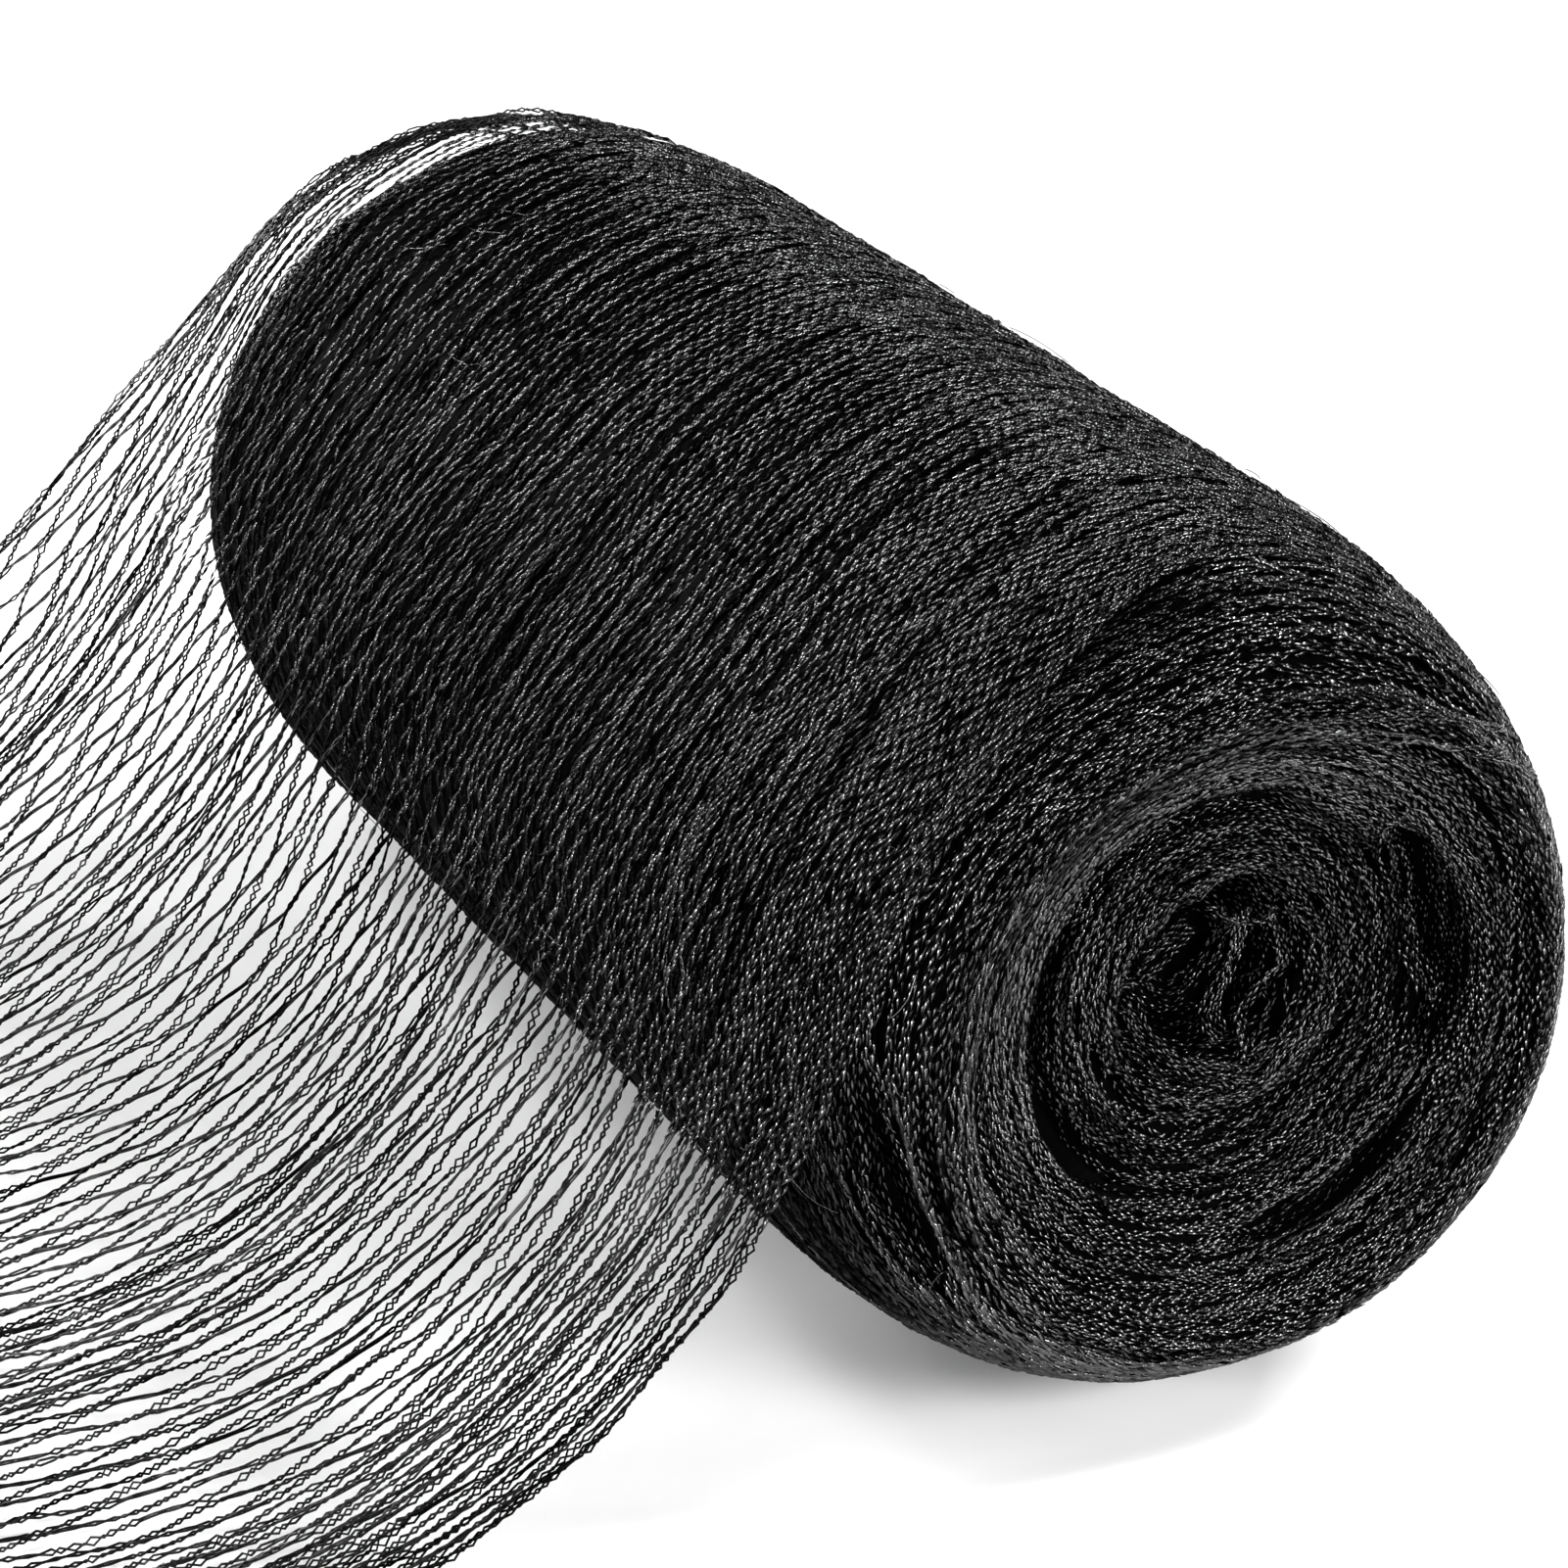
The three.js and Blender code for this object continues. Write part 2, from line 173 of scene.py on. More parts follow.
# Free strand: two filaments that cross at each stitch, a little heavier on the near part of the net
STITCH = 1.65
FILAMENT = {"far": 0.46, "near": 0.5}
CHAIN_WIDTH = {"far": 0.6, "near": 0.7}
HEAVIER_FROM = 0.4
HEAVIER_TO = 0.7
WEAVE_HEIGHT = 0.15
UNEVEN_STITCH = 0.28
UNEVEN_SWING = 0.4
STRAND_SWING = (0.8, 1.15)

# Turns on the roll: how far apart the strands lie on each part of it, and how they wander
FIRST_RADIUS = 6
NEAR_FACE_PITCH = 1.15
FAR_FACE_PITCH = 1.45
FACE_PITCH_TO = 46
SHOULDER_PITCH = 2
SHOULDER_PITCH_AT = 55
BARREL_PITCH = 2.2
PITCH_RANGE = (0.92, 1.08)
SKEW_CROWDING = 0.7
STITCH_JITTER = 0.15
PROFILE_MARGIN = 4
MESH_REPEAT = 21
MESH_SLIP = 0.1
JOINT_WANDER = 0.4
BUNCH = {"wander": 0.8, "length": 26, "columns": 9}
OWN_PATH = {"wander": 0.25, "more_on_face": 0.15, "columns": 36}
LIFT = {"height": 0.5, "less_on_crest": 0.35, "crest_over": (48, 58), "length": 5, "columns": 24}
RING_DEPTH = 0.9
RING_DEPTH_OVER = (67, 74.5)

# Two layers of turns: how deep each lies, how bright it is, and the share of its legs that stays dull
# inside the crest of the near end
# Lower layer's lesser brightness: painted shade beneath the upper turns; dull legs in the crest: painted
# shade
UPPER_LAYER = {"sink": 0.5, "brightness_with_painted_shade": 1, "painted_shade_share": 0.62}
LOWER_LAYER = {"sink": 1.4, "brightness_with_painted_shade": 0.8, "painted_shade_share": 1}

# Shade of the turns, and the painted shade on those that the loose end covers
RING_SHADE = 0.55
RING_SHADE_SPREAD = 0.3
FACE_SHADE_SPREAD = 0.2
COVERED_RADIUS_OVER = (63, 70)
COVERED_OVER = (84, 96)
PAINTED_SHADE_UNDER_NET = 0.05
PAINTED_SHADE_UNDER_NET_GONE_OVER = (225, 250)
COVERED_SINK = 0.9
COVERED_SINK_GONE_OVER = (140, 156)

# Painted light on the near end: painted highlights on its face, painted shade in grooves, hollow and
# crest wall
FACE_PAINTED_HIGHLIGHT = 0.55
LOW_PAINTED_HIGHLIGHT = 1.3
LOW_OVER = (-0.2, 0.6)
GROOVE_PAINTED_SHADE = 0.2
GROOVE_DEPTH_OVER = (1.5, 4.5)
HOLLOW_PAINTED_SHADE = 0.55
HOLLOW_GONE_OVER = (10, 17)
WALL_RADIUS = 47.5
WALL_WIDTH = 5
WALL_OVER = (60, 95)
WALL_GONE_OVER = (180, 215)
WALL_PAINTED_SHADE = 0.04

# Layer beneath the turns; its near-black material without shine is painted shade
UNDER_SINK = 1.6
UNDER_RIDGE = 0.9
UNDER_PITCH = 3.6
UNDER_COLUMNS = 120
UNDER_SHADE = 0.3
UNDER_SWAY = {"size": 0.35, "length": 14, "columns": 18}

# Skew of the outer turns: they drift to the far end over the back and the top, and return by the front
SKEW = 26
SKEW_TOP = 60
SKEW_FRONT = 84
SKEW_BACK = 210
SKEW_FROM = 50
SKEW_EASE = 110

# Drift of the strands towards the far end, where they leave the roll and where they reach the floor
FRONT_DRIFT = {
    "most": 10, "along": (72, 125), "across": (-130, -90), "near": (80, 148), "near_loss": 0.8,
}
FLOOR_DRIFT = {
    "most": 14, "along": (188, 275), "across": (-60, 20), "near": (80, 148), "near_loss": 1,
}
FRONT_OVER = (135, 175)
FRONT_GONE_OVER = (190, 270)

# Short runs that lie across the other strands of the near end
TANGLES = 170
TANGLE = {
    "from": 18, "least": 12, "run": (15, 60), "stray": 0.12, "wave": 0.8, "wave_length": (6, 14),
    "lift": 0.2, "crest_sink": 0.6, "crest_over": (54, 62), "end_sink": 1.2, "end_power": 4,
}

# Thin ends of filament that stand off the roll
STRAYS = 80
STRAY = {
    "from": 55, "short_of": 60, "least_radius": 20, "length": (5, 16), "points": 12, "curl": 0.07,
    "kink": 0.1, "lift": 0.1, "rise": 0.5, "arch": 0.8, "thickness": 0.22, "shade": (0.3, 0.8),
}

# Cords side by side: how they sway and heave
BUNDLE = {
    "sway": 0.4, "lift": 0.6, "heave": 0.3, "wave_length": (2, 5), "phase": (0, 6), "shade": (0.3, 1),
}

# Cords that hang in the hollow and in the pocket of the near end, from the middle of the hollow: how far
# across and up each point lies, and its station along the roll
NEAR_CORDS = [
    {"name": "crescent", "cords": 2, "spread": 1.2,
     "path": [(-2, 12.5, 139), (1, 10.5, 140), (4.5, 9, 140), (7.5, 9, 140), (9.5, 10.5, 139)]},
    {"name": "middle tongue", "cords": 5, "spread": 3.6,
     "path": [(4, 10, 138), (4, 5, 137), (3.5, 1, 136), (2, -4, 135), (0.5, -8, 135), (1.5, -12, 137)]},
    {"name": "right tongue", "cords": 3, "spread": 2.4,
     "path": [(8.5, 9, 139), (11.5, 4, 138), (12.5, -1, 137), (10, -4, 136), (7, -6.5, 136),
              (5, -9, 136), (6, -16, 139)]},
    {"name": "left fold", "cords": 3, "spread": 3,
     "path": [(-14, 3, 138), (-8, 6, 136.5), (-3, 7, 135)]},
    {"name": "upper left fold", "cords": 3, "spread": 2.4,
     "path": [(-14, 7, 139), (-9.5, 8.5, 138), (-5, 9, 136)]},
    {"name": "left lip", "cords": 2, "spread": 1.6,
     "path": [(-18, 2.5, 140), (-14, 2, 138), (-10, -0.5, 136)]},
    {"name": "lower rim", "cords": 4, "spread": 3.2,
     "path": [(-16.5, -1.5, 139.5), (-14, -6.5, 139), (-9.5, -11.5, 139), (-5, -15, 139.5),
              (0.5, -16.5, 140), (6, -18, 140)]},
    {"name": "right lower lip", "cords": 3, "spread": 2.4,
     "path": [(19.5, -9.5, 140), (17, -13, 140), (11.5, -14.5, 139.5), (9.5, -19, 140)]},
    {"name": "right upper lip", "cords": 3, "spread": 2.4,
     "path": [(12, 10, 140), (16, 6.5, 140), (17.5, 4, 140), (18, -3, 140)]},
    {"name": "pocket back", "cords": 4, "spread": 5,
     "path": [(27, 22, 143), (31, 12, 140), (34, 2, 139), (36, -7, 142)]},
    {"name": "pocket loop", "cords": 1, "spread": 0,
     "path": [(31.5, 10, 143), (31.5, 3.5, 146), (32.5, -2.5, 147), (33.5, -6, 147), (35, -8, 147),
              (36.5, -5, 146)]},
]

# Folded edges that show as paler lines on the near shoulder: radius and angle of the points of each
NEAR_FOLDS = [
    {"name": "upper edge", "cords": 2, "spread": 1.4,
     "path": [(50, 112), (53, 88), (56, 66), (60, 50), (64, 38)]},
    {"name": "lower edge", "cords": 2, "spread": 1.4,
     "path": [(51, 68), (56, 51), (60, 39), (64, 28)]},
]
FOLD_RADIUS = 60
FOLD_RISE = 0.7
FOLD_END_SINK = 1.4
FOLD_END_POWER = 6
CURVE_SAMPLES = 24

# Strands of the loose end, and how far apart they lie at each share of its width from the far edge
LOOSE_STRANDS = 128
LOOSE_PITCH = [
    (0, 3.3), (0.14, 2.9), (0.19, 3.5), (0.3, 3.6), (0.36, 3.1), (0.62, 2.3), (0.865, 1.3), (1, 0.85),
]
LOOSE_START = -66
LONGEST_ON_ROLL = 150
CORD_BEGINS = (-25, -5)
CORD_PAST_LEAVING = 42
LOOSE_SIZE = 0.85
STANDS_OFF = -126
FAR_GATHER = -157
GATHERED_FROM = -112
NET_SKEW_OVER = (-160, -105)
JOINT_SHARE = 0.1
JOINT_WIDTH = 1.2
JOINT_GAP = 0.5
OPENS_OVER = (-10, 45)
CLOSED_SWING = 0.12
OPEN_SWING = 0.74
CHAIN_TWIST = 48
CHAIN_TURN = 82
TURN_OVER = (0.46, 0.56)
TURN_GONE_OVER = (0.92, 1)
PLACES_AT = 100

# Unevenness of the loose strands: its size, how many strands and what length one swell takes up, and
# the rows and columns of cells it is drawn on
LOOSE_NOISE = {
    "gap": {"size": 0.18, "strands": 1, "length": 60, "cells": (LOOSE_STRANDS, 9)},
    "bunch": {"size": 0.14, "strands": 3, "length": 90, "cells": (LOOSE_STRANDS // 3 + 1, 6)},
    "slip": {"size": 5, "strands": 3, "length": 50, "cells": (LOOSE_STRANDS // 3 + 1, 10)},
    "rise": {"size": 0.45, "strands": 1, "length": 15, "cells": (LOOSE_STRANDS, 28)},
    "twist": {"size": 0.35, "strands": 1, "length": 12, "cells": (LOOSE_STRANDS, 34)},
}

# Shade of the loose end: of its free chains, and of its cords, with painted shade at the far end and low
# down
CHAIN_SHADE = (0, 0.25)
LOOSE_SHADE = (0.34, 0.92)
FAR_PAINTED_SHADE = 0.22
FAR_GONE_OVER = (-110, -40)
LOW_PAINTED_SHADE = 0.34
LOW_GONE_OVER = (80, 125)


def smooth(value, low, high):
    """An eased rise from zero at the low value to one at the high value."""
    share = np.clip((value - low) / (high - low), 0, 1)
    return share * share * (3 - 2 * share)


def unit(vectors):
    return vectors / np.linalg.norm(vectors, axis=-1, keepdims=True)


def random_field(rows, columns, wraps):
    """A smooth random function of a row and a column, both counted in cells, with unit spread."""
    grid = rng.standard_normal((rows + 2, columns + (0 if wraps else 2)))

    def at(row, column):
        row = np.clip(row, 0, rows)
        r = np.floor(row).astype(int)
        c = np.floor(column).astype(int)
        down = smooth(row - r, 0, 1)
        across = smooth(column - c, 0, 1)
        here = c % columns if wraps else np.clip(c, 0, columns)
        after = (c + 1) % columns if wraps else np.clip(c + 1, 0, columns + 1)
        upper = grid[r, here] * (1 - across) + grid[r, after] * across
        lower = grid[r + 1, here] * (1 - across) + grid[r + 1, after] * across
        return upper * (1 - down) + lower * down

    return at


# Skin of the wound roll
def end_station(end, radius):
    rise = (1 - np.minimum(radius / ROLL_RADIUS, 1) ** end["exponent"]) ** (1 / end["exponent"])
    dish = np.maximum(1 - (radius / DISH_RADIUS) ** DISH_POWER, 0) ** 2
    return end["start"] + end["facing"] * (end["length"] * rise - end["dish"] * dish)


def end_profile(end):
    """Radius, station and slope of the skin from an end's centre to the start of the barrel."""
    rim_turn = np.arccos((DISH_RADIUS / ROLL_RADIUS) ** (end["exponent"] / 2))
    face = np.linspace(0, DISH_RADIUS, FACE_SAMPLES)[:-1]
    shoulder = ROLL_RADIUS * np.cos(np.linspace(rim_turn, 0, SHOULDER_SAMPLES)) ** (2 / end["exponent"])
    radius = np.concatenate([face, shoulder])
    inner = end_station(end, np.maximum(radius - PROFILE_PROBE, 0))
    outer = end_station(end, np.minimum(radius + PROFILE_PROBE, ROLL_RADIUS))
    fall = end["facing"] * (inner - outer) / (2 * PROFILE_PROBE)
    return np.stack([radius, end_station(end, radius), np.pi / 2 - np.arctan(fall)])


near_profile = end_profile(NEAR_END)
PROFILE_RADIUS, PROFILE_X, PROFILE_SLOPE = np.hstack([near_profile, end_profile(FAR_END)[:, ::-1]])
PROFILE_STEPS = np.hypot(np.diff(PROFILE_RADIUS), np.diff(PROFILE_X))
PROFILE_LENGTH = np.concatenate([[0], np.cumsum(PROFILE_STEPS)])
NEAR_LIMIT = PROFILE_LENGTH[near_profile.shape[1] - 1]
FAR_LIMIT = PROFILE_LENGTH[near_profile.shape[1]]
WHOLE_LENGTH = PROFILE_LENGTH[-1]


def near_length(radius):
    """Length along the profile from the near centre to a radius of the near end."""
    return np.interp(radius, near_profile[0], PROFILE_LENGTH[: near_profile.shape[1]])


def radius_at(length):
    return np.interp(length, PROFILE_LENGTH, PROFILE_RADIUS)


def groove_depth(groove, radius, angle):
    middle = (groove["a0"] + groove["a1"]) / 2
    turned = middle + np.mod(angle - middle + 180, 360) - 180
    window = smooth(turned, groove["a0"], groove["a0"] + GROOVE_TAPER)
    window = window * (1 - smooth(turned, groove["a1"] - GROOVE_TAPER, groove["a1"]))
    share = (turned - groove["a0"]) / (groove["a1"] - groove["a0"])
    line = groove["r0"] + (groove["r1"] - groove["r0"]) * share
    return groove["depth"] * window * np.exp(-(((radius - line) / groove["half"]) ** 2))


def hollow_depth(hollow, radius, angle):
    turn = np.radians(angle)
    rim = hollow["radius"] * (1 + hollow["rim_wave"] * np.cos(RIM_LOBES * turn - RIM_PHASE))
    wall = 1 - smooth(radius / rim, *HOLLOW_WALL)
    swirl = hollow["lobes"] * turn - radius / hollow["twist"]
    lobe = hollow["lobe_share"] * np.minimum(radius / hollow["radius"], 1) * (0.5 + 0.5 * np.cos(swirl))
    return hollow["depth"] * wall * (1 - lobe)


def end_relief(grooves, hollow, radius, angle):
    return hollow_depth(hollow, radius, angle) + sum(groove_depth(g, radius, angle) for g in grooves)


def layer_drop(radius, angle):
    """Depth of the spiral step, eased back up where the loose end lies over it."""
    share = np.mod(PEEL_ANGLE - angle, 360) / 360
    return LAYER * share * (1 - smooth(share, PEEL_EASE, 1)) * smooth(radius, *LAYER_OVER)


def skin(length, angle):
    """Points of the roll's skin at a length along its profile from the near centre, and an angle."""
    length, angle = np.broadcast_arrays(length, angle)
    radius = radius_at(length)
    slope = np.interp(length, PROFILE_LENGTH, PROFILE_SLOPE)
    x = np.interp(length, PROFILE_LENGTH, PROFILE_X)
    near = length < NEAR_LIMIT
    far = length > FAR_LIMIT
    relief = np.zeros(length.shape)
    relief[near] = end_relief(NEAR_GROOVES, NEAR_HOLLOW, radius[near], angle[near])
    relief[far] = end_relief(FAR_GROOVES, FAR_HOLLOW, radius[far], angle[far])
    from_under = np.abs(np.mod(angle - UNDERSIDE["angle"] + 180, 360) - 180)
    spread = UNDERSIDE["bulge"] * (1 - smooth(from_under, 0, UNDERSIDE["reach"]))
    spread = spread * smooth(radius, DISH_RADIUS, ROLL_RADIUS)
    reach = radius - layer_drop(radius, angle) - relief * np.cos(slope) + spread
    off_centre = near * (1 - smooth(radius, NEAR_CENTRE["full_to"], NEAR_CENTRE["gone_by"]))
    turn = np.radians(angle)
    y = reach * np.cos(turn) + NEAR_CENTRE["y"] * off_centre
    z = ROLL_RADIUS + reach * np.sin(turn) + NEAR_CENTRE["z"] * off_centre
    inward = (near * 1.0 - far * 1.0) * relief * np.sin(slope)
    return np.stack([x - inward, y, np.maximum(z, 0)], -1)


def skin_frame(length, angle):
    """Points of the skin, with the skin's outward direction there."""
    across = skin(length + SKIN_PROBE, angle) - skin(np.maximum(length - SKIN_PROBE, 0), angle)
    around = skin(length, angle + SKIN_PROBE) - skin(length, angle - SKIN_PROBE)
    return skin(length, angle), unit(np.cross(across, around))


def skew(angle):
    """How far towards the far end the outer turns have drifted at an angle."""
    from_top = np.mod(angle - SKEW_TOP + SKEW_BACK, 360) - SKEW_BACK
    return SKEW * smooth(from_top, -SKEW_BACK, 0) * (1 - smooth(from_top, 0, SKEW_FRONT))


def skew_share(length):
    """How much of the skew the turns have, from the near end to the far end."""
    near_share = smooth(length, near_length(SKEW_FROM), near_length(SKEW_FROM) + SKEW_EASE)
    return near_share * (1 - smooth(length, FAR_LIMIT - SKEW_EASE / 2, FAR_LIMIT + SKEW_EASE / 4))


# Drape of the loose end
DRAPE_X, DRAPE_LEAVE, DRAPE_EASE = np.array(DRAPE).T


def drape_at(x):
    """Angle above the front at which the net leaves the roll, and the length in which it turns level."""
    row = np.clip(np.searchsorted(DRAPE_X, x), 1, len(DRAPE_X) - 1)
    share = smooth(x, DRAPE_X[row - 1], DRAPE_X[row])
    leave = DRAPE_LEAVE[row - 1] + (DRAPE_LEAVE[row] - DRAPE_LEAVE[row - 1]) * share
    ease = DRAPE_EASE[row - 1] + (DRAPE_EASE[row] - DRAPE_EASE[row - 1]) * share
    return leave, ease


def shoulder_radius(end, x, length):
    along = np.clip(end["facing"] * (x - end["start"]) / length, 0, 1)
    return ROLL_RADIUS * (1 - along ** end["exponent"]) ** (1 / end["exponent"])


def net_radius(x, angle):
    """Radius of the net's underside. Behind the peel line the net runs on under the outer turn."""
    drop = LAYER * np.minimum((PEEL_ANGLE + 360 - angle) / 360, 1)
    near_roll = shoulder_radius(NEAR_END, x, NEAR_END["length"])
    far_roll = shoulder_radius(FAR_END, x, FAR_END["length"])
    roll = np.minimum(near_roll, far_roll)
    settled = smooth(NET_START_ANGLE - angle, 0, NET_SETTLES_BY)
    standing = shoulder_radius(FAR_END, x, FAR_STANDOFF_LENGTH)
    standing = standing + (roll - standing) * settled
    on_roll = roll - drop * smooth(roll, *LAYER_OVER)
    stands_off = (x < FAR_END["start"]) & (standing - drop > on_roll)
    return np.where(stands_off, standing - drop, on_roll) + NET_CLEARANCE


def length_on_roll(x):
    leave_angle = 180 - drape_at(x)[0]
    return net_radius(x, NET_START_ANGLE) * np.radians(leave_angle - NET_START_ANGLE)


def angle_on_roll(x, along):
    leave_angle = 180 - drape_at(x)[0]
    return NET_START_ANGLE + (leave_angle - NET_START_ANGLE) * np.minimum(along / length_on_roll(x), 1)


def net_underside(x, along):
    """Points of the net's underside at a place across it and a length down it from the peel line."""
    leave, ease = drape_at(x)
    leave_angle = 180 - leave
    on_roll = length_on_roll(x)
    angle = angle_on_roll(x, along)
    radius = net_radius(x, angle)
    turn = np.radians(angle)
    pitch = np.radians(90 - leave)
    height = ROLL_RADIUS + net_radius(x, leave_angle) * np.sin(np.radians(leave))
    bend = np.minimum(ease / pitch, height / (1 - np.cos(pitch)))
    straight = (height - bend * (1 - np.cos(pitch))) / np.sin(pitch)
    free = np.maximum(along - on_roll, 0)
    down = np.minimum(free, straight)
    curved = np.clip(free - straight, 0, bend * pitch)
    level = np.maximum(free - straight - bend * pitch, 0)
    eased = pitch - curved / bend
    y = radius * np.cos(turn) - down * np.cos(pitch) - bend * (np.sin(pitch) - np.sin(eased)) - level
    fallen = down * np.sin(pitch) + bend * (np.cos(eased) - np.cos(pitch))
    return np.stack([x + 0 * y, y, ROLL_RADIUS + radius * np.sin(turn) - fallen], -1)


def net_frame(x, along):
    """Points of the net's middle surface, with its upward direction there."""
    left = np.maximum(x - SKIN_PROBE, NET_FAR_EDGE)
    right = np.minimum(x + SKIN_PROBE, NET_NEAR_EDGE)
    across = net_underside(right, along) - net_underside(left, along)
    down = net_underside(x, along + SKIN_PROBE) - net_underside(x, along - SKIN_PROBE)
    upward = unit(np.cross(down, across))
    return net_underside(x, along) + upward * NET_THICKNESS / 2, upward


# Filaments, chains and cords, and the meshes made of them
SECTION_TURNS = np.radians([0.0, 120.0, 240.0])
SIDES = len(SECTION_TURNS)
LEG_FACES = np.array([[0, 2, 1], [0, 3, 2], [0, 1, 3], [4, 1, 2], [4, 2, 3], [4, 3, 1]])


def tube(points, outward, sideways, thickness, shade):
    """One three-sided filament with closed ends: its vertices, quads, end triangles and shade."""
    section = np.cos(SECTION_TURNS)[:, None] * outward[:, None]
    section = section + np.sin(SECTION_TURNS)[:, None] * sideways[:, None]
    vertices = (points[:, None] + section * thickness / 2).reshape(-1, 3)
    rows = SIDES * np.arange(len(points) - 1)[:, None]
    here = rows + np.arange(SIDES)
    beside = rows + (np.arange(SIDES) + 1) % SIDES
    quads = np.stack([here, beside, beside + SIDES, here + SIDES], -1).reshape(-1, 4)
    last = len(vertices) - SIDES
    return {
        "vertices": vertices,
        "quads": quads,
        "triangles": np.array([[0, 2, 1], [last, last + 1, last + 2]]),
        "shade": np.full(len(vertices), shade),
    }


def tangents(points, closed=False):
    if closed:
        return unit(np.roll(points, -1, 0) - np.roll(points, 1, 0))
    return unit(np.gradient(points, axis=0))


def by_turns(count):
    """Minus one and one by turns, for the left and the right."""
    return np.where(np.arange(count) % 2, 1.0, -1.0)


def across_net(share, sizes):
    """A size that grows from the far part of the net to its near part."""
    return np.interp(share, [HEAVIER_FROM, HEAVIER_TO], [sizes["far"], sizes["near"]])


def chain(points, outward, twist, share, shade):
    """A strand that hangs free: two filaments that swing from side to side and cross at each stitch."""
    count = len(points)
    forward = tangents(points)
    sideways = unit(np.cross(forward, outward))
    outward = np.cross(sideways, forward)
    swing = 0.5 * across_net(share, CHAIN_WIDTH) * by_turns(count) * rng.uniform(*STRAND_SWING)
    swing = swing * (1 + UNEVEN_SWING * rng.standard_normal(count))
    points = points + forward * (UNEVEN_STITCH * STITCH * rng.uniform(-1, 1, count))[:, None]
    across = sideways * np.cos(twist)[:, None] + outward * np.sin(twist)[:, None]
    lift = outward * np.cos(twist)[:, None] - sideways * np.sin(twist)[:, None]
    offset = across * swing[:, None] + lift * WEAVE_HEIGHT
    thickness = across_net(share, FILAMENT)
    return [tube(points + hand * offset, outward, sideways, thickness, shade) for hand in (1, -1)]


def cord(points, outward, closed, shade, size, slant_spread):
    """A strand that is wound up: one leg at each stitch, by turns to the left and to the right."""
    count = len(points)
    forward = tangents(points, closed)
    sideways = unit(np.cross(forward, outward))
    hand = by_turns(count)
    points = points + sideways * (LEG_OFFSET * size * hand)[:, None]
    slants = np.radians(LEG_SLANT * hand + slant_spread * rng.standard_normal(count))[:, None]
    tilt = LEG_TILT + LEG_TILT_SPREAD * rng.standard_normal(count)[:, None]
    heading = unit(forward * np.cos(slants) + sideways * np.sin(slants) + outward * tilt)
    beside = unit(np.cross(heading, outward))
    above = np.cross(beside, heading)
    size = size * (1 + LEG_SIZE_SPREAD * rng.standard_normal(count)[:, None])
    girth = 0.5 * LEG_THICKNESS * size
    section = [girth * (above * np.cos(turn) + beside * np.sin(turn)) for turn in SECTION_TURNS]
    reach = heading * 0.5 * LEG_LENGTH * size
    vertices = np.stack([points - reach, *[points + corner for corner in section], points + reach], 1)
    triangles = (vertices.shape[1] * np.arange(count)[:, None, None] + LEG_FACES).reshape(-1, 3)
    shades = np.clip(shade * (1 + LEG_SHADE_SPREAD * rng.standard_normal(count)), 0, 1)
    return [{
        "vertices": vertices.reshape(-1, 3),
        "quads": np.empty((0, 4), int),
        "triangles": triangles,
        "shade": np.repeat(shades, vertices.shape[1]),
    }]


def resampled(path, spacing):
    """Evenly spaced points along a smooth curve through the given ones."""
    path = np.array(path, float)
    padded = np.vstack([2 * path[0] - path[1], path, 2 * path[-1] - path[-2]])
    share = np.linspace(0, 1, CURVE_SAMPLES, endpoint=False)[:, None]
    pieces = []
    for before, start, end, after in zip(padded, padded[1:], padded[2:], padded[3:]):
        slope = (end - before) * share
        bend = (2 * before - 5 * start + 4 * end - after) * share**2
        turn = (3 * start - before - 3 * end + after) * share**3
        pieces.append(0.5 * (2 * start + slope + bend + turn))
    curve = np.vstack([*pieces, path[-1:]])
    length = np.concatenate([[0], np.cumsum(np.linalg.norm(np.diff(curve, axis=0), axis=1))])
    at = np.arange(0, length[-1], spacing)
    return np.stack([np.interp(at, length, column) for column in curve.T], -1)


def make_piece(name, parts, material, node):
    """Joins parts into one mesh that rides on the part and stands for one of its solids."""
    starts = np.cumsum([0] + [len(part["vertices"]) for part in parts])
    vertices = np.concatenate([part["vertices"] for part in parts])
    quads = np.concatenate([part["quads"] + start for part, start in zip(parts, starts)])
    triangles = np.concatenate([part["triangles"] + start for part, start in zip(parts, starts)])
    vertices[:, 2] = np.maximum(vertices[:, 2], 0)
    mesh = bpy.data.meshes.new(name)
    mesh.vertices.add(len(vertices))
    mesh.vertices.foreach_set("co", (vertices * MM).astype(np.float32).ravel())
    corners = np.concatenate([quads.ravel(), triangles.ravel()]).astype(np.int32)
    mesh.loops.add(len(corners))
    mesh.loops.foreach_set("vertex_index", corners)
    firsts = np.concatenate([4 * np.arange(len(quads)), 4 * len(quads) + 3 * np.arange(len(triangles))])
    mesh.polygons.add(len(firsts))
    mesh.polygons.foreach_set("loop_start", firsts.astype(np.int32))
    mesh.update(calc_edges=True)
    mesh.shade_smooth()
    shade = np.concatenate([part["shade"] for part in parts]).astype(np.float32)
    mesh.attributes.new("shade", "FLOAT", "POINT").data.foreach_set("value", shade)
    piece = bpy.data.objects.new(name, mesh)
    bpy.context.scene.collection.objects.link(piece)
    piece.data.materials.append(material)
    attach(piece, "root")
    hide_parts(node)
    return piece


# Materials
def node_of(tree, kind, **values):
    node = tree.nodes.new(kind)
    for key, value in values.items():
        if key in node.inputs:
            node.inputs[key].default_value = value
        else:
            setattr(node, key, value)
    return node


def noise_node(tree, place, scale, detail):
    noise = node_of(tree, "ShaderNodeTexNoise", Scale=scale, Detail=detail)
    tree.links.new(place.outputs["Object"], noise.inputs["Vector"])
    return noise


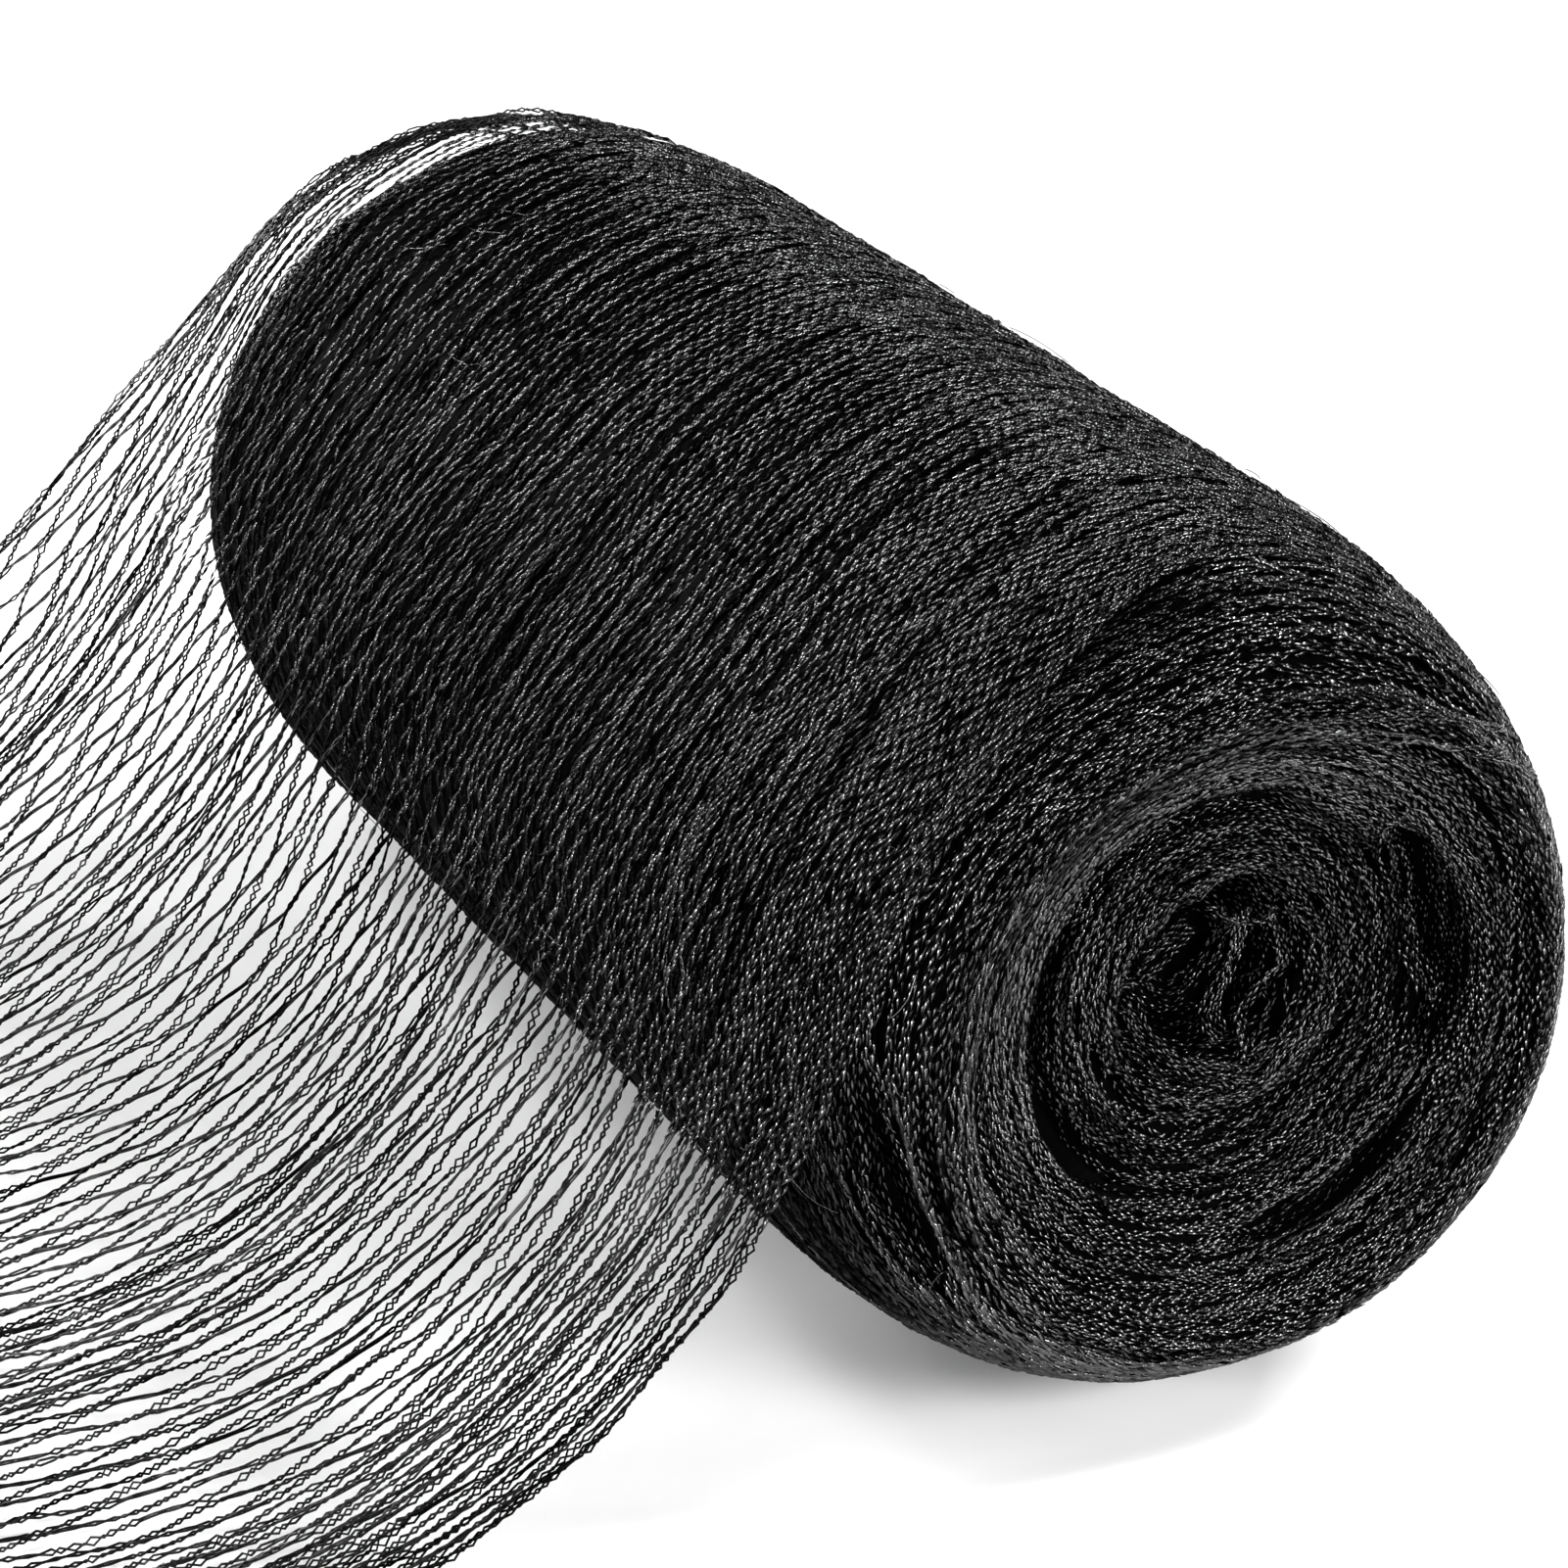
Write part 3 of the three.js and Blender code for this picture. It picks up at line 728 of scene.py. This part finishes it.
def ramp_node(tree, factor, first, last):
    ramp = node_of(tree, "ShaderNodeValToRGB")
    ramp.color_ramp.elements[0].color = first
    ramp.color_ramp.elements[1].color = last
    tree.links.new(factor, ramp.inputs["Fac"])
    return ramp.outputs["Color"]


def range_node(tree, value, low, high):
    spread = node_of(tree, "ShaderNodeMapRange")
    spread.inputs["To Min"].default_value = low
    spread.inputs["To Max"].default_value = high
    tree.links.new(value, spread.inputs["Value"])
    return spread.outputs["Result"]


def new_material(name):
    material = bpy.data.materials.new(name)
    material.use_nodes = True
    return material, material.node_tree, material.node_tree.nodes["Principled BSDF"]


def filament_material(name, look):
    """Black filament: strands differ in shade and shine, and roughness varies along them."""
    material, tree, shader = new_material(name)
    # The shade attribute carries each strand's own tone together with painted shade and painted
    # highlights
    strand = node_of(tree, "ShaderNodeAttribute", attribute_name="shade")
    place = node_of(tree, "ShaderNodeTexCoord")
    patches = noise_node(tree, place, scale=PATCH_SCALE, detail=3.0)
    fine = noise_node(tree, place, scale=FINE_SCALE, detail=2.0)
    patch_part = node_of(tree, "ShaderNodeMath", operation="MULTIPLY")
    patch_part.inputs[1].default_value = PATCH_SHARE
    tree.links.new(patches.outputs["Fac"], patch_part.inputs[0])
    mixed = node_of(tree, "ShaderNodeMath", operation="MULTIPLY_ADD")
    mixed.inputs[1].default_value = STRAND_SHARE
    tree.links.new(strand.outputs["Fac"], mixed.inputs[0])
    tree.links.new(patch_part.outputs[0], mixed.inputs[2])
    dark = (look["dark"], look["dark"], look["dark"] * BLUE_IN_DARK, 1)
    pale = (look["pale"], look["pale"], look["pale"] * BLUE_IN_PALE, 1)
    tree.links.new(ramp_node(tree, mixed.outputs[0], dark, pale), shader.inputs["Base Color"])
    roughness = range_node(tree, fine.outputs["Fac"], *look["rough"])
    tree.links.new(roughness, shader.inputs["Roughness"])
    shine = range_node(tree, strand.outputs["Fac"], *look["shine"])
    tree.links.new(shine, shader.inputs["Specular IOR Level"])
    shader.inputs["IOR"].default_value = FILAMENT_IOR
    return material


def floor_material():
    material, tree, shader = new_material("pale_floor")
    place = node_of(tree, "ShaderNodeTexCoord")
    clouds = noise_node(tree, place, scale=CLOUD_SCALE, detail=4.0)
    darker, paler = ((shade, shade, shade, 1) for shade in FLOOR_SHADES)
    tree.links.new(ramp_node(tree, clouds.outputs["Fac"], darker, paler), shader.inputs["Base Color"])
    shader.inputs["Roughness"].default_value = FLOOR_ROUGHNESS
    shader.inputs["Specular IOR Level"].default_value = FLOOR_SHINE
    return material


# The roll: a ridged under layer, and the strands of the outer turns over it
def wound_stations():
    """Lengths along the profile at which the strands of the outer turns lie."""
    stations = []
    length = near_length(FIRST_RADIUS)
    while length < WHOLE_LENGTH - FIRST_RADIUS:
        stations.append(length)
        face_pitch = NEAR_FACE_PITCH if length < WHOLE_LENGTH / 2 else FAR_FACE_PITCH
        radii = [FACE_PITCH_TO, SHOULDER_PITCH_AT, ROLL_RADIUS]
        pitch = np.interp(radius_at(length), radii, [face_pitch, SHOULDER_PITCH, BARREL_PITCH])
        stretched = (skew_share(length + 1) - skew_share(length)) * SKEW
        length += pitch * rng.uniform(*PITCH_RANGE) / (1 + SKEW_CROWDING * stretched)
    return np.array(stations)


def under_net(radius, angle):
    """How much the loose end lies over the roll."""
    return smooth(radius, *COVERED_RADIUS_OVER) * smooth(angle, *COVERED_OVER)


def ring_wander(k, station, turn, on_face, bunching, own_path):
    """How far a ring strays from its station."""
    repeats = round(2 * np.pi * radius_at(station) / MESH_REPEAT)
    slip = rng.uniform(-MESH_SLIP, MESH_SLIP)
    wander = JOINT_WANDER * np.cos(2 * np.pi * (repeats * turn + 0.5 * (k % 2) + slip))
    bunched = bunching(station / BUNCH["length"] + 0 * turn, BUNCH["columns"] * turn)
    wander = wander + BUNCH["wander"] * bunched
    own = OWN_PATH["wander"] + OWN_PATH["more_on_face"] * on_face
    wander = wander + own * own_path(k + 0 * turn, OWN_PATH["columns"] * turn)
    angle = 360 * turn
    front = smooth(angle, *FRONT_OVER) * (1 - smooth(angle, *FRONT_GONE_OVER))
    return wander + (skew(angle) + FRONT_DRIFT["most"] * front) * skew_share(station)


def ring_lift(station, turn, lifting, sink):
    """How far a ring lies above or below the skin."""
    radius = radius_at(station)
    angle = 360 * turn
    height = LIFT["height"] - LIFT["less_on_crest"] * smooth(radius, *LIFT["crest_over"])
    lift = height * lifting(station / LIFT["length"] + 0 * turn, LIFT["columns"] * turn)
    lift = lift - sink - RING_DEPTH * rng.uniform(0, 1) * smooth(radius, *RING_DEPTH_OVER)
    return lift - COVERED_SINK * under_net(radius, angle) * (1 - smooth(angle, *COVERED_SINK_GONE_OVER))


def ring_shade(station, angle, on_face, layer):
    """Shade of a ring, with painted shade behind the loose end and painted light on the near end."""
    radius = radius_at(station)
    spread = RING_SHADE_SPREAD + FACE_SHADE_SPREAD * on_face
    shade = layer["brightness_with_painted_shade"] * rng.uniform(RING_SHADE - spread, RING_SHADE + spread)
    # Painted shade on the rings that the loose end covers
    behind_net = under_net(radius, angle) * (1 - smooth(angle, *PAINTED_SHADE_UNDER_NET_GONE_OVER))
    shade = shade * (1 - (1 - PAINTED_SHADE_UNDER_NET) * behind_net)
    if station < NEAR_LIMIT:
        shade = shade * near_end_painted_light(radius, angle, on_face, layer["painted_shade_share"])
    return shade


def near_end_painted_light(radius, angle, on_face, painted_shade_share):
    """Painted highlights on the near end's face, most low down, and painted shade inside the crest, in
    grooves and hollow.
    """
    low = smooth(-np.sin(np.radians(angle)), *LOW_OVER)
    wall = np.exp(-(((radius - WALL_RADIUS) / WALL_WIDTH) ** 2))
    wall = wall * smooth(angle, *WALL_OVER) * (1 - smooth(angle, *WALL_GONE_OVER))
    shaded_on_wall = wall * (rng.uniform(0, 1, len(angle)) < painted_shade_share)
    in_groove = smooth(sum(groove_depth(g, radius, angle) for g in NEAR_GROOVES), *GROOVE_DEPTH_OVER)
    in_hollow = 1 - smooth(radius, *HOLLOW_GONE_OVER)
    # Painted highlights: the face shines more, most of all on its lower half
    gloss = 1 + on_face * (FACE_PAINTED_HIGHLIGHT + LOW_PAINTED_HIGHLIGHT * low)
    # Painted shade on the crest's inner wall, in the grooves and in the hollow
    gloss = gloss * (1 - (1 - WALL_PAINTED_SHADE) * shaded_on_wall)
    return gloss * (1 - (1 - GROOVE_PAINTED_SHADE) * in_groove) * (1 - HOLLOW_PAINTED_SHADE * in_hollow)


def wound_strands(stations, bunching, lifting, layer):
    """Cords of one layer of turns, each a ring that wanders among its neighbours."""
    own_path = random_field(len(stations), OWN_PATH["columns"], True)
    rings = []
    for k, station in enumerate(stations):
        radius = radius_at(station)
        on_face = 1 - smooth(radius, *FACE_OVER)
        size = 1 + (FACE_SIZE - 1) * on_face
        slant_spread = LEG_SLANT_SPREAD + (FACE_SLANT_SPREAD - LEG_SLANT_SPREAD) * on_face
        count = round(2 * np.pi * radius / (WOUND_STITCH * size))
        turn = (np.arange(count) + STITCH_JITTER * rng.standard_normal(count)) / count
        length = station + ring_wander(k, station, turn, on_face, bunching, own_path)
        lift = ring_lift(station, turn, lifting, layer["sink"])
        length = np.clip(length, PROFILE_MARGIN, WHOLE_LENGTH - PROFILE_MARGIN)
        points, outward = skin_frame(length, 360 * turn)
        shade = ring_shade(station, 360 * turn, on_face, layer)
        rings.append(cord(points + outward * lift[:, None], outward, True, shade, size, slant_spread))
    return rings


def tangles():
    """Short runs of strand that lie across the others on the near end."""
    cords = []
    for _ in range(TANGLES):
        station = rng.uniform(TANGLE["from"], NEAR_LIMIT)
        angle = rng.uniform(0, 360)
        radius = radius_at(station)
        count = round(rng.uniform(*TANGLE["run"]) / FACE_STITCH)
        run = np.arange(count) * FACE_STITCH
        stray = rng.uniform(-TANGLE["stray"], TANGLE["stray"]) * (run - run.mean())
        stray = stray + TANGLE["wave"] * np.sin(run / rng.uniform(*TANGLE["wave_length"]) + angle)
        length = np.maximum(station + stray, TANGLE["least"])
        points, outward = skin_frame(length, angle + np.degrees(run / radius))
        lift = TANGLE["lift"] - TANGLE["crest_sink"] * smooth(radius, *TANGLE["crest_over"])
        lift = lift - TANGLE["end_sink"] * np.abs(np.linspace(-1, 1, count)) ** TANGLE["end_power"]
        points = points + outward * lift[:, None]
        cords.append(cord(points, outward, False, rng.uniform(0, 1), FACE_SIZE, FACE_SLANT_SPREAD))
    return cords


def stray_fibres():
    """Thin ends of filament that stand off the roll here and there."""
    fibres = []
    count = STRAY["points"]
    arch = np.sin(np.linspace(0, np.pi * STRAY["arch"], count))
    for _ in range(STRAYS):
        station = rng.uniform(STRAY["from"], WHOLE_LENGTH - STRAY["short_of"])
        angle = rng.uniform(0, 360)
        radius = max(radius_at(station), STRAY["least_radius"])
        run = np.linspace(0, rng.uniform(*STRAY["length"]), count)
        heading = rng.uniform(0, 2 * np.pi)
        curl = rng.normal(0, STRAY["curl"])
        turned = heading + np.cumsum(curl + STRAY["kink"] * rng.standard_normal(count))
        across = np.cumsum(np.sin(turned)) * (run[1] - run[0])
        around = np.cumsum(np.cos(turned)) * (run[1] - run[0])
        points, outward = skin_frame(station + across, angle + np.degrees(around / radius))
        points = points + outward * (STRAY["lift"] + rng.uniform(0, STRAY["rise"]) * arch)[:, None]
        sideways = unit(np.cross(tangents(points), outward))
        shade = rng.uniform(*STRAY["shade"])
        fibres.append([tube(points, outward, sideways, STRAY["thickness"], shade)])
    return fibres


def bundle(curve, sideways, outward, row):
    """Cords side by side along a curve, each with a little sway of its own."""
    run = np.arange(len(curve)) * FACE_STITCH

    def waves(height):
        return height * np.sin(run / rng.uniform(*BUNDLE["wave_length"]) + rng.uniform(*BUNDLE["phase"]))

    cords = []
    for k in range(row["cords"]):
        sway = row["spread"] * ((k + 0.5) / row["cords"] - 0.5) + waves(BUNDLE["sway"])
        lift = rng.uniform(-BUNDLE["lift"], BUNDLE["lift"]) + waves(BUNDLE["heave"])
        points = curve + sideways * sway[:, None] + outward * lift[:, None]
        shade = rng.uniform(*BUNDLE["shade"])
        cords.append(cord(points, outward, False, shade, FACE_SIZE, FACE_SLANT_SPREAD))
    return cords


def near_end_cords():
    """Cords in the near end's hollow and pocket, and the folded edges above."""
    cords = []
    for row in NEAR_CORDS:
        across, up, out = np.array(row["path"], float).T
        path = np.stack([out, across + NEAR_CENTRE["y"], up + ROLL_RADIUS + NEAR_CENTRE["z"]], -1)
        curve = resampled(path, FACE_STITCH)
        outward = np.tile([1.0, 0.0, 0.0], (len(curve), 1))
        sideways = unit(np.cross(tangents(curve), outward))
        cords += bundle(curve, sideways, outward, row)
    for row in NEAR_FOLDS:
        radius, angle = np.array(row["path"], float).T
        path = np.stack([near_length(radius), np.radians(angle) * FOLD_RADIUS], -1)
        laid = resampled(path, FACE_STITCH)
        curve, outward = skin_frame(laid[:, 0], np.degrees(laid[:, 1] / FOLD_RADIUS))
        rise = FOLD_RISE - FOLD_END_SINK * np.abs(np.linspace(-1, 1, len(curve))) ** FOLD_END_POWER
        sideways = unit(np.cross(tangents(curve), outward))
        cords += bundle(curve + outward * rise[:, None], sideways, outward, row)
    return cords


def under_layer():
    """The next layer down, as a closed skin whose ridges are strands."""
    rows = round(WHOLE_LENGTH / UNDER_PITCH) * 2
    lengths = np.linspace(0, WHOLE_LENGTH, rows + 1)[1:-1]
    angles = np.arange(UNDER_COLUMNS) * 360 / UNDER_COLUMNS
    length, angle = np.meshgrid(lengths, angles, indexing="ij")
    points, outward = skin_frame(length, angle)
    sway = random_field(round(WHOLE_LENGTH / UNDER_SWAY["length"]) + 1, UNDER_SWAY["columns"], True)
    swayed = sway(length / UNDER_SWAY["length"], angle / (360 / UNDER_SWAY["columns"]))
    phase = length / UNDER_PITCH + UNDER_SWAY["size"] * swayed
    depth = UNDER_SINK + UNDER_RIDGE * (0.5 - 0.5 * np.cos(2 * np.pi * phase))
    grid = (points - outward * depth[..., None]).reshape(-1, 3)
    poles = skin(np.array([0.0, WHOLE_LENGTH]), np.array([0.0, 0.0]))
    here = np.arange(len(grid)).reshape(len(lengths), UNDER_COLUMNS)
    after = np.roll(here, -1, 1)
    quads = np.stack([here[:-1], here[1:], after[1:], after[:-1]], -1).reshape(-1, 4)
    near_fan = np.stack([np.full(UNDER_COLUMNS, len(grid)), here[0], after[0]], -1)
    far_fan = np.stack([np.full(UNDER_COLUMNS, len(grid) + 1), after[-1], here[-1]], -1)
    vertices = np.vstack([grid, poles])
    return {
        "vertices": vertices,
        "quads": quads,
        "triangles": np.vstack([near_fan, far_fan]),
        "shade": np.full(len(vertices), UNDER_SHADE),
    }


# The loose end: strands that join their left and right neighbours by turns
def drift(x, along):
    """How far towards the far end the loose strands have drifted on the net."""
    drifted = 0
    for row in (FRONT_DRIFT, FLOOR_DRIFT):
        most = row["most"] * smooth(along, *row["along"]) * smooth(x, *row["across"])
        drifted = drifted + most * (1 - row["near_loss"] * smooth(x, *row["near"]))
    return drifted


def swells(row):
    """One kind of unevenness, by strand and by the run along it."""
    field = random_field(*row["cells"], False)

    def at(strand, run):
        return row["size"] * field(strand / row["strands"], run / row["length"])

    return at


def strand_places(strand, run, along, noise):
    """Place of each strand across the net as it swings to its neighbours, and its phase in that swing."""
    share = (strand[:-1] + 0.5) / (LOOSE_STRANDS - 1)
    uneven = noise["gap"](strand[:-1], run[:-1]) + noise["bunch"](strand[:-1], run[:-1])
    gaps = np.interp(share, *zip(*LOOSE_PITCH)) * np.exp(uneven)
    gaps = gaps * (NET_NEAR_EDGE - NET_FAR_EDGE) / gaps.sum(0)
    middles = NET_FAR_EDGE + np.vstack([0 * gaps[:1], np.cumsum(gaps, 0)])
    touching = 0.5 * np.minimum(JOINT_WIDTH * across_net(share, CHAIN_WIDTH), JOINT_GAP * gaps)
    between = 0.5 * (middles[1:] + middles[:-1])
    left = np.vstack([middles[:1], between + touching])
    right = np.vstack([between - touching, middles[-1:]])
    phase = np.mod((along + noise["slip"](strand, run)) / MESH_REPEAT + 0.5 * (strand % 2), 1)
    ramp = 0.5 - JOINT_SHARE
    swung = left + (right - left) * (smooth(phase, 0, ramp) - smooth(phase, 0.5, 0.5 + ramp))
    opened = smooth(along - length_on_roll(middles), *OPENS_OVER)
    return middles + (swung - middles) * (CLOSED_SWING + OPEN_SWING * opened), phase


def laid_strands(along, noise):
    """Points, upward directions and twists of all strands at the given lengths down the net."""
    strand = np.arange(LOOSE_STRANDS)[:, None] + 0 * along
    run = 0 * strand + along - LOOSE_START
    x, phase = strand_places(strand, run, along, noise)
    gathered = np.interp(x, [NET_FAR_EDGE, GATHERED_FROM], [FAR_GATHER, GATHERED_FROM])
    x = np.where(x < GATHERED_FROM, x + (gathered - x) * smooth(-along, 0, -LOOSE_START), x)
    x = x - skew(angle_on_roll(x, along)) * smooth(x, *NET_SKEW_OVER) - drift(x, along)
    x = np.clip(x, NET_FAR_EDGE, NET_NEAR_EDGE)
    going_back = smooth(phase, *TURN_OVER) * (1 - smooth(phase, *TURN_GONE_OVER))
    twist = np.radians(CHAIN_TWIST) - np.radians(CHAIN_TURN) * going_back + noise["twist"](strand, run)
    points, upward = net_frame(x, 0 * x + along)
    return points + upward * noise["rise"](strand, run)[..., None], upward, twist


def front_painted_shade(points):
    """Painted shade on the cords over the roll: they shine less at the far end and low on the front."""
    far = 1 - smooth(points[:, 0], *FAR_GONE_OVER)
    low = 1 - smooth(points[:, 2], *LOW_GONE_OVER)
    return 1 - FAR_PAINTED_SHADE * far - LOW_PAINTED_SHADE * low


def loose_strands():
    """The strands, each a cord over the roll and a chain where it hangs free, and their places."""
    noise = {name: swells(row) for name, row in LOOSE_NOISE.items()}
    wound = np.arange(LOOSE_START, LONGEST_ON_ROLL, WOUND_STITCH)
    free = np.arange(LOOSE_START, NET_LENGTH, STITCH)
    wound_points, wound_upward, _ = laid_strands(wound, noise)
    free_points, free_upward, free_twist = laid_strands(free, noise)
    peel_places = free_points[:, np.searchsorted(free, 0), 0]
    places = free_points[:, np.searchsorted(free, PLACES_AT), 0]
    leaving = np.where(places < STANDS_OFF, LOOSE_START, length_on_roll(places) + CORD_PAST_LEAVING)
    strands = []
    for k in range(LOOSE_STRANDS):
        begins = LOOSE_START if peel_places[k] < FAR_GATHER else rng.uniform(*CORD_BEGINS)
        hangs = free >= leaving[k] - 2 * STITCH
        shade = rng.uniform(*CHAIN_SHADE)
        hanging = (free_points[k][hangs], free_upward[k][hangs], free_twist[k][hangs])
        parts = chain(*hanging, k / LOOSE_STRANDS, shade)
        on_roll = (wound >= begins) & (wound < leaving[k])
        if on_roll.any():
            points = wound_points[k][on_roll]
            # Painted shade at the far end and low on the front
            shade = rng.uniform(*LOOSE_SHADE) * front_painted_shade(points)
            parts += cord(points, wound_upward[k][on_roll], False, shade, LOOSE_SIZE, LEG_SLANT_SPREAD)
        strands.append(parts)
    return strands, places


def flattened(groups):
    return [part for group in groups for part in group]


def build_roll(material, under_painted_shade_material):
    bunching = random_field(round(WHOLE_LENGTH / BUNCH["length"]) + 1, BUNCH["columns"], True)
    lifting = random_field(round(WHOLE_LENGTH / LIFT["length"]) + 1, LIFT["columns"], True)
    # The under layer wears the near-black material that paints it as shade
    make_piece("wound_under_layer", [under_layer()], under_painted_shade_material, "wound_roll")
    stations = wound_stations()
    between = stations[:-1] + 0.5 * np.diff(stations)
    # The lower layer is darker: painted shade beneath the upper turns
    lower = wound_strands(between[between < NEAR_LIMIT], bunching, lifting, LOWER_LAYER)
    upper = wound_strands(stations, bunching, lifting, UPPER_LAYER)
    legs = np.cumsum([len(ring[0]["triangles"]) for ring in upper])
    near_count, middle_count = np.searchsorted(legs, [legs[-1] / 3, 2 * legs[-1] / 3])
    pieces = {
        "near_end_lower_strands": lower,
        "wound_strands_near": upper[:near_count],
        "wound_strands_middle": upper[near_count:middle_count],
        "wound_strands_far": upper[middle_count:],
        "near_end_tangles": tangles() + near_end_cords(),
        "stray_fibres": stray_fibres(),
    }
    for name, groups in pieces.items():
        make_piece(name, flattened(groups), material, "wound_roll")


def build_loose_end(material):
    strands, places = loose_strands()
    thirds = np.array_split(np.arange(LOOSE_STRANDS), 3)
    for name, members in zip(("far", "middle", "near"), thirds):
        parts = flattened(strands[k] for k in members)
        piece = make_piece(f"loose_net_{name}", parts, material, "loose_end")


# Floor, lights and camera
def add_floor():
    bpy.ops.mesh.primitive_plane_add(size=FLOOR_SIZE)
    floor = bpy.context.object
    floor.name = "floor"
    floor.data.materials.append(floor_material())


def looking(direction):
    """Rotation of a light or a camera that looks in a direction."""
    return direction.to_track_quat("-Z", "Y").to_euler()


def add_studio():
    world = bpy.data.worlds.new("studio")
    world.use_nodes = True
    background = world.node_tree.nodes["Background"]
    background.inputs["Color"].default_value = (1, 1, 1, 1)
    background.inputs["Strength"].default_value = WORLD_STRENGTH
    bpy.context.scene.world = world
    for name, place, size, power in LIGHTS:
        light = bpy.data.lights.new(name, "AREA")
        light.size = size
        light.energy = power
        lamp = bpy.data.objects.new(name, light)
        lamp.location = place
        lamp.rotation_euler = looking(Vector(LIGHT_TARGET) - Vector(place))
        bpy.context.scene.collection.objects.link(lamp)


def add_camera():
    data = bpy.data.cameras.new("camera")
    data.sensor_width = CAMERA_SENSOR
    data.lens = CAMERA_LENS
    data.clip_start = CAMERA_NEAREST
    camera = bpy.data.objects.new("camera", data)
    camera.location = CAMERA_PLACE
    camera.rotation_euler = looking(Vector(CAMERA_LOOKS))
    bpy.context.scene.collection.objects.link(camera)
    bpy.context.scene.camera = camera


add_camera()
add_floor()
add_studio()
bpy.context.scene.view_settings.view_transform = "Standard"
wound_black = filament_material("wound_filament", WOUND_FILAMENT)
# Near-black copy of the filament without shine: painted shade on the under layer
under_painted_shade_black = filament_material("under_painted_shade_filament", UNDER_PAINTED_SHADE_FILAMENT)
loose_black = filament_material("loose_filament", LOOSE_FILAMENT)
build_roll(wound_black, under_painted_shade_black)
build_loose_end(loose_black)
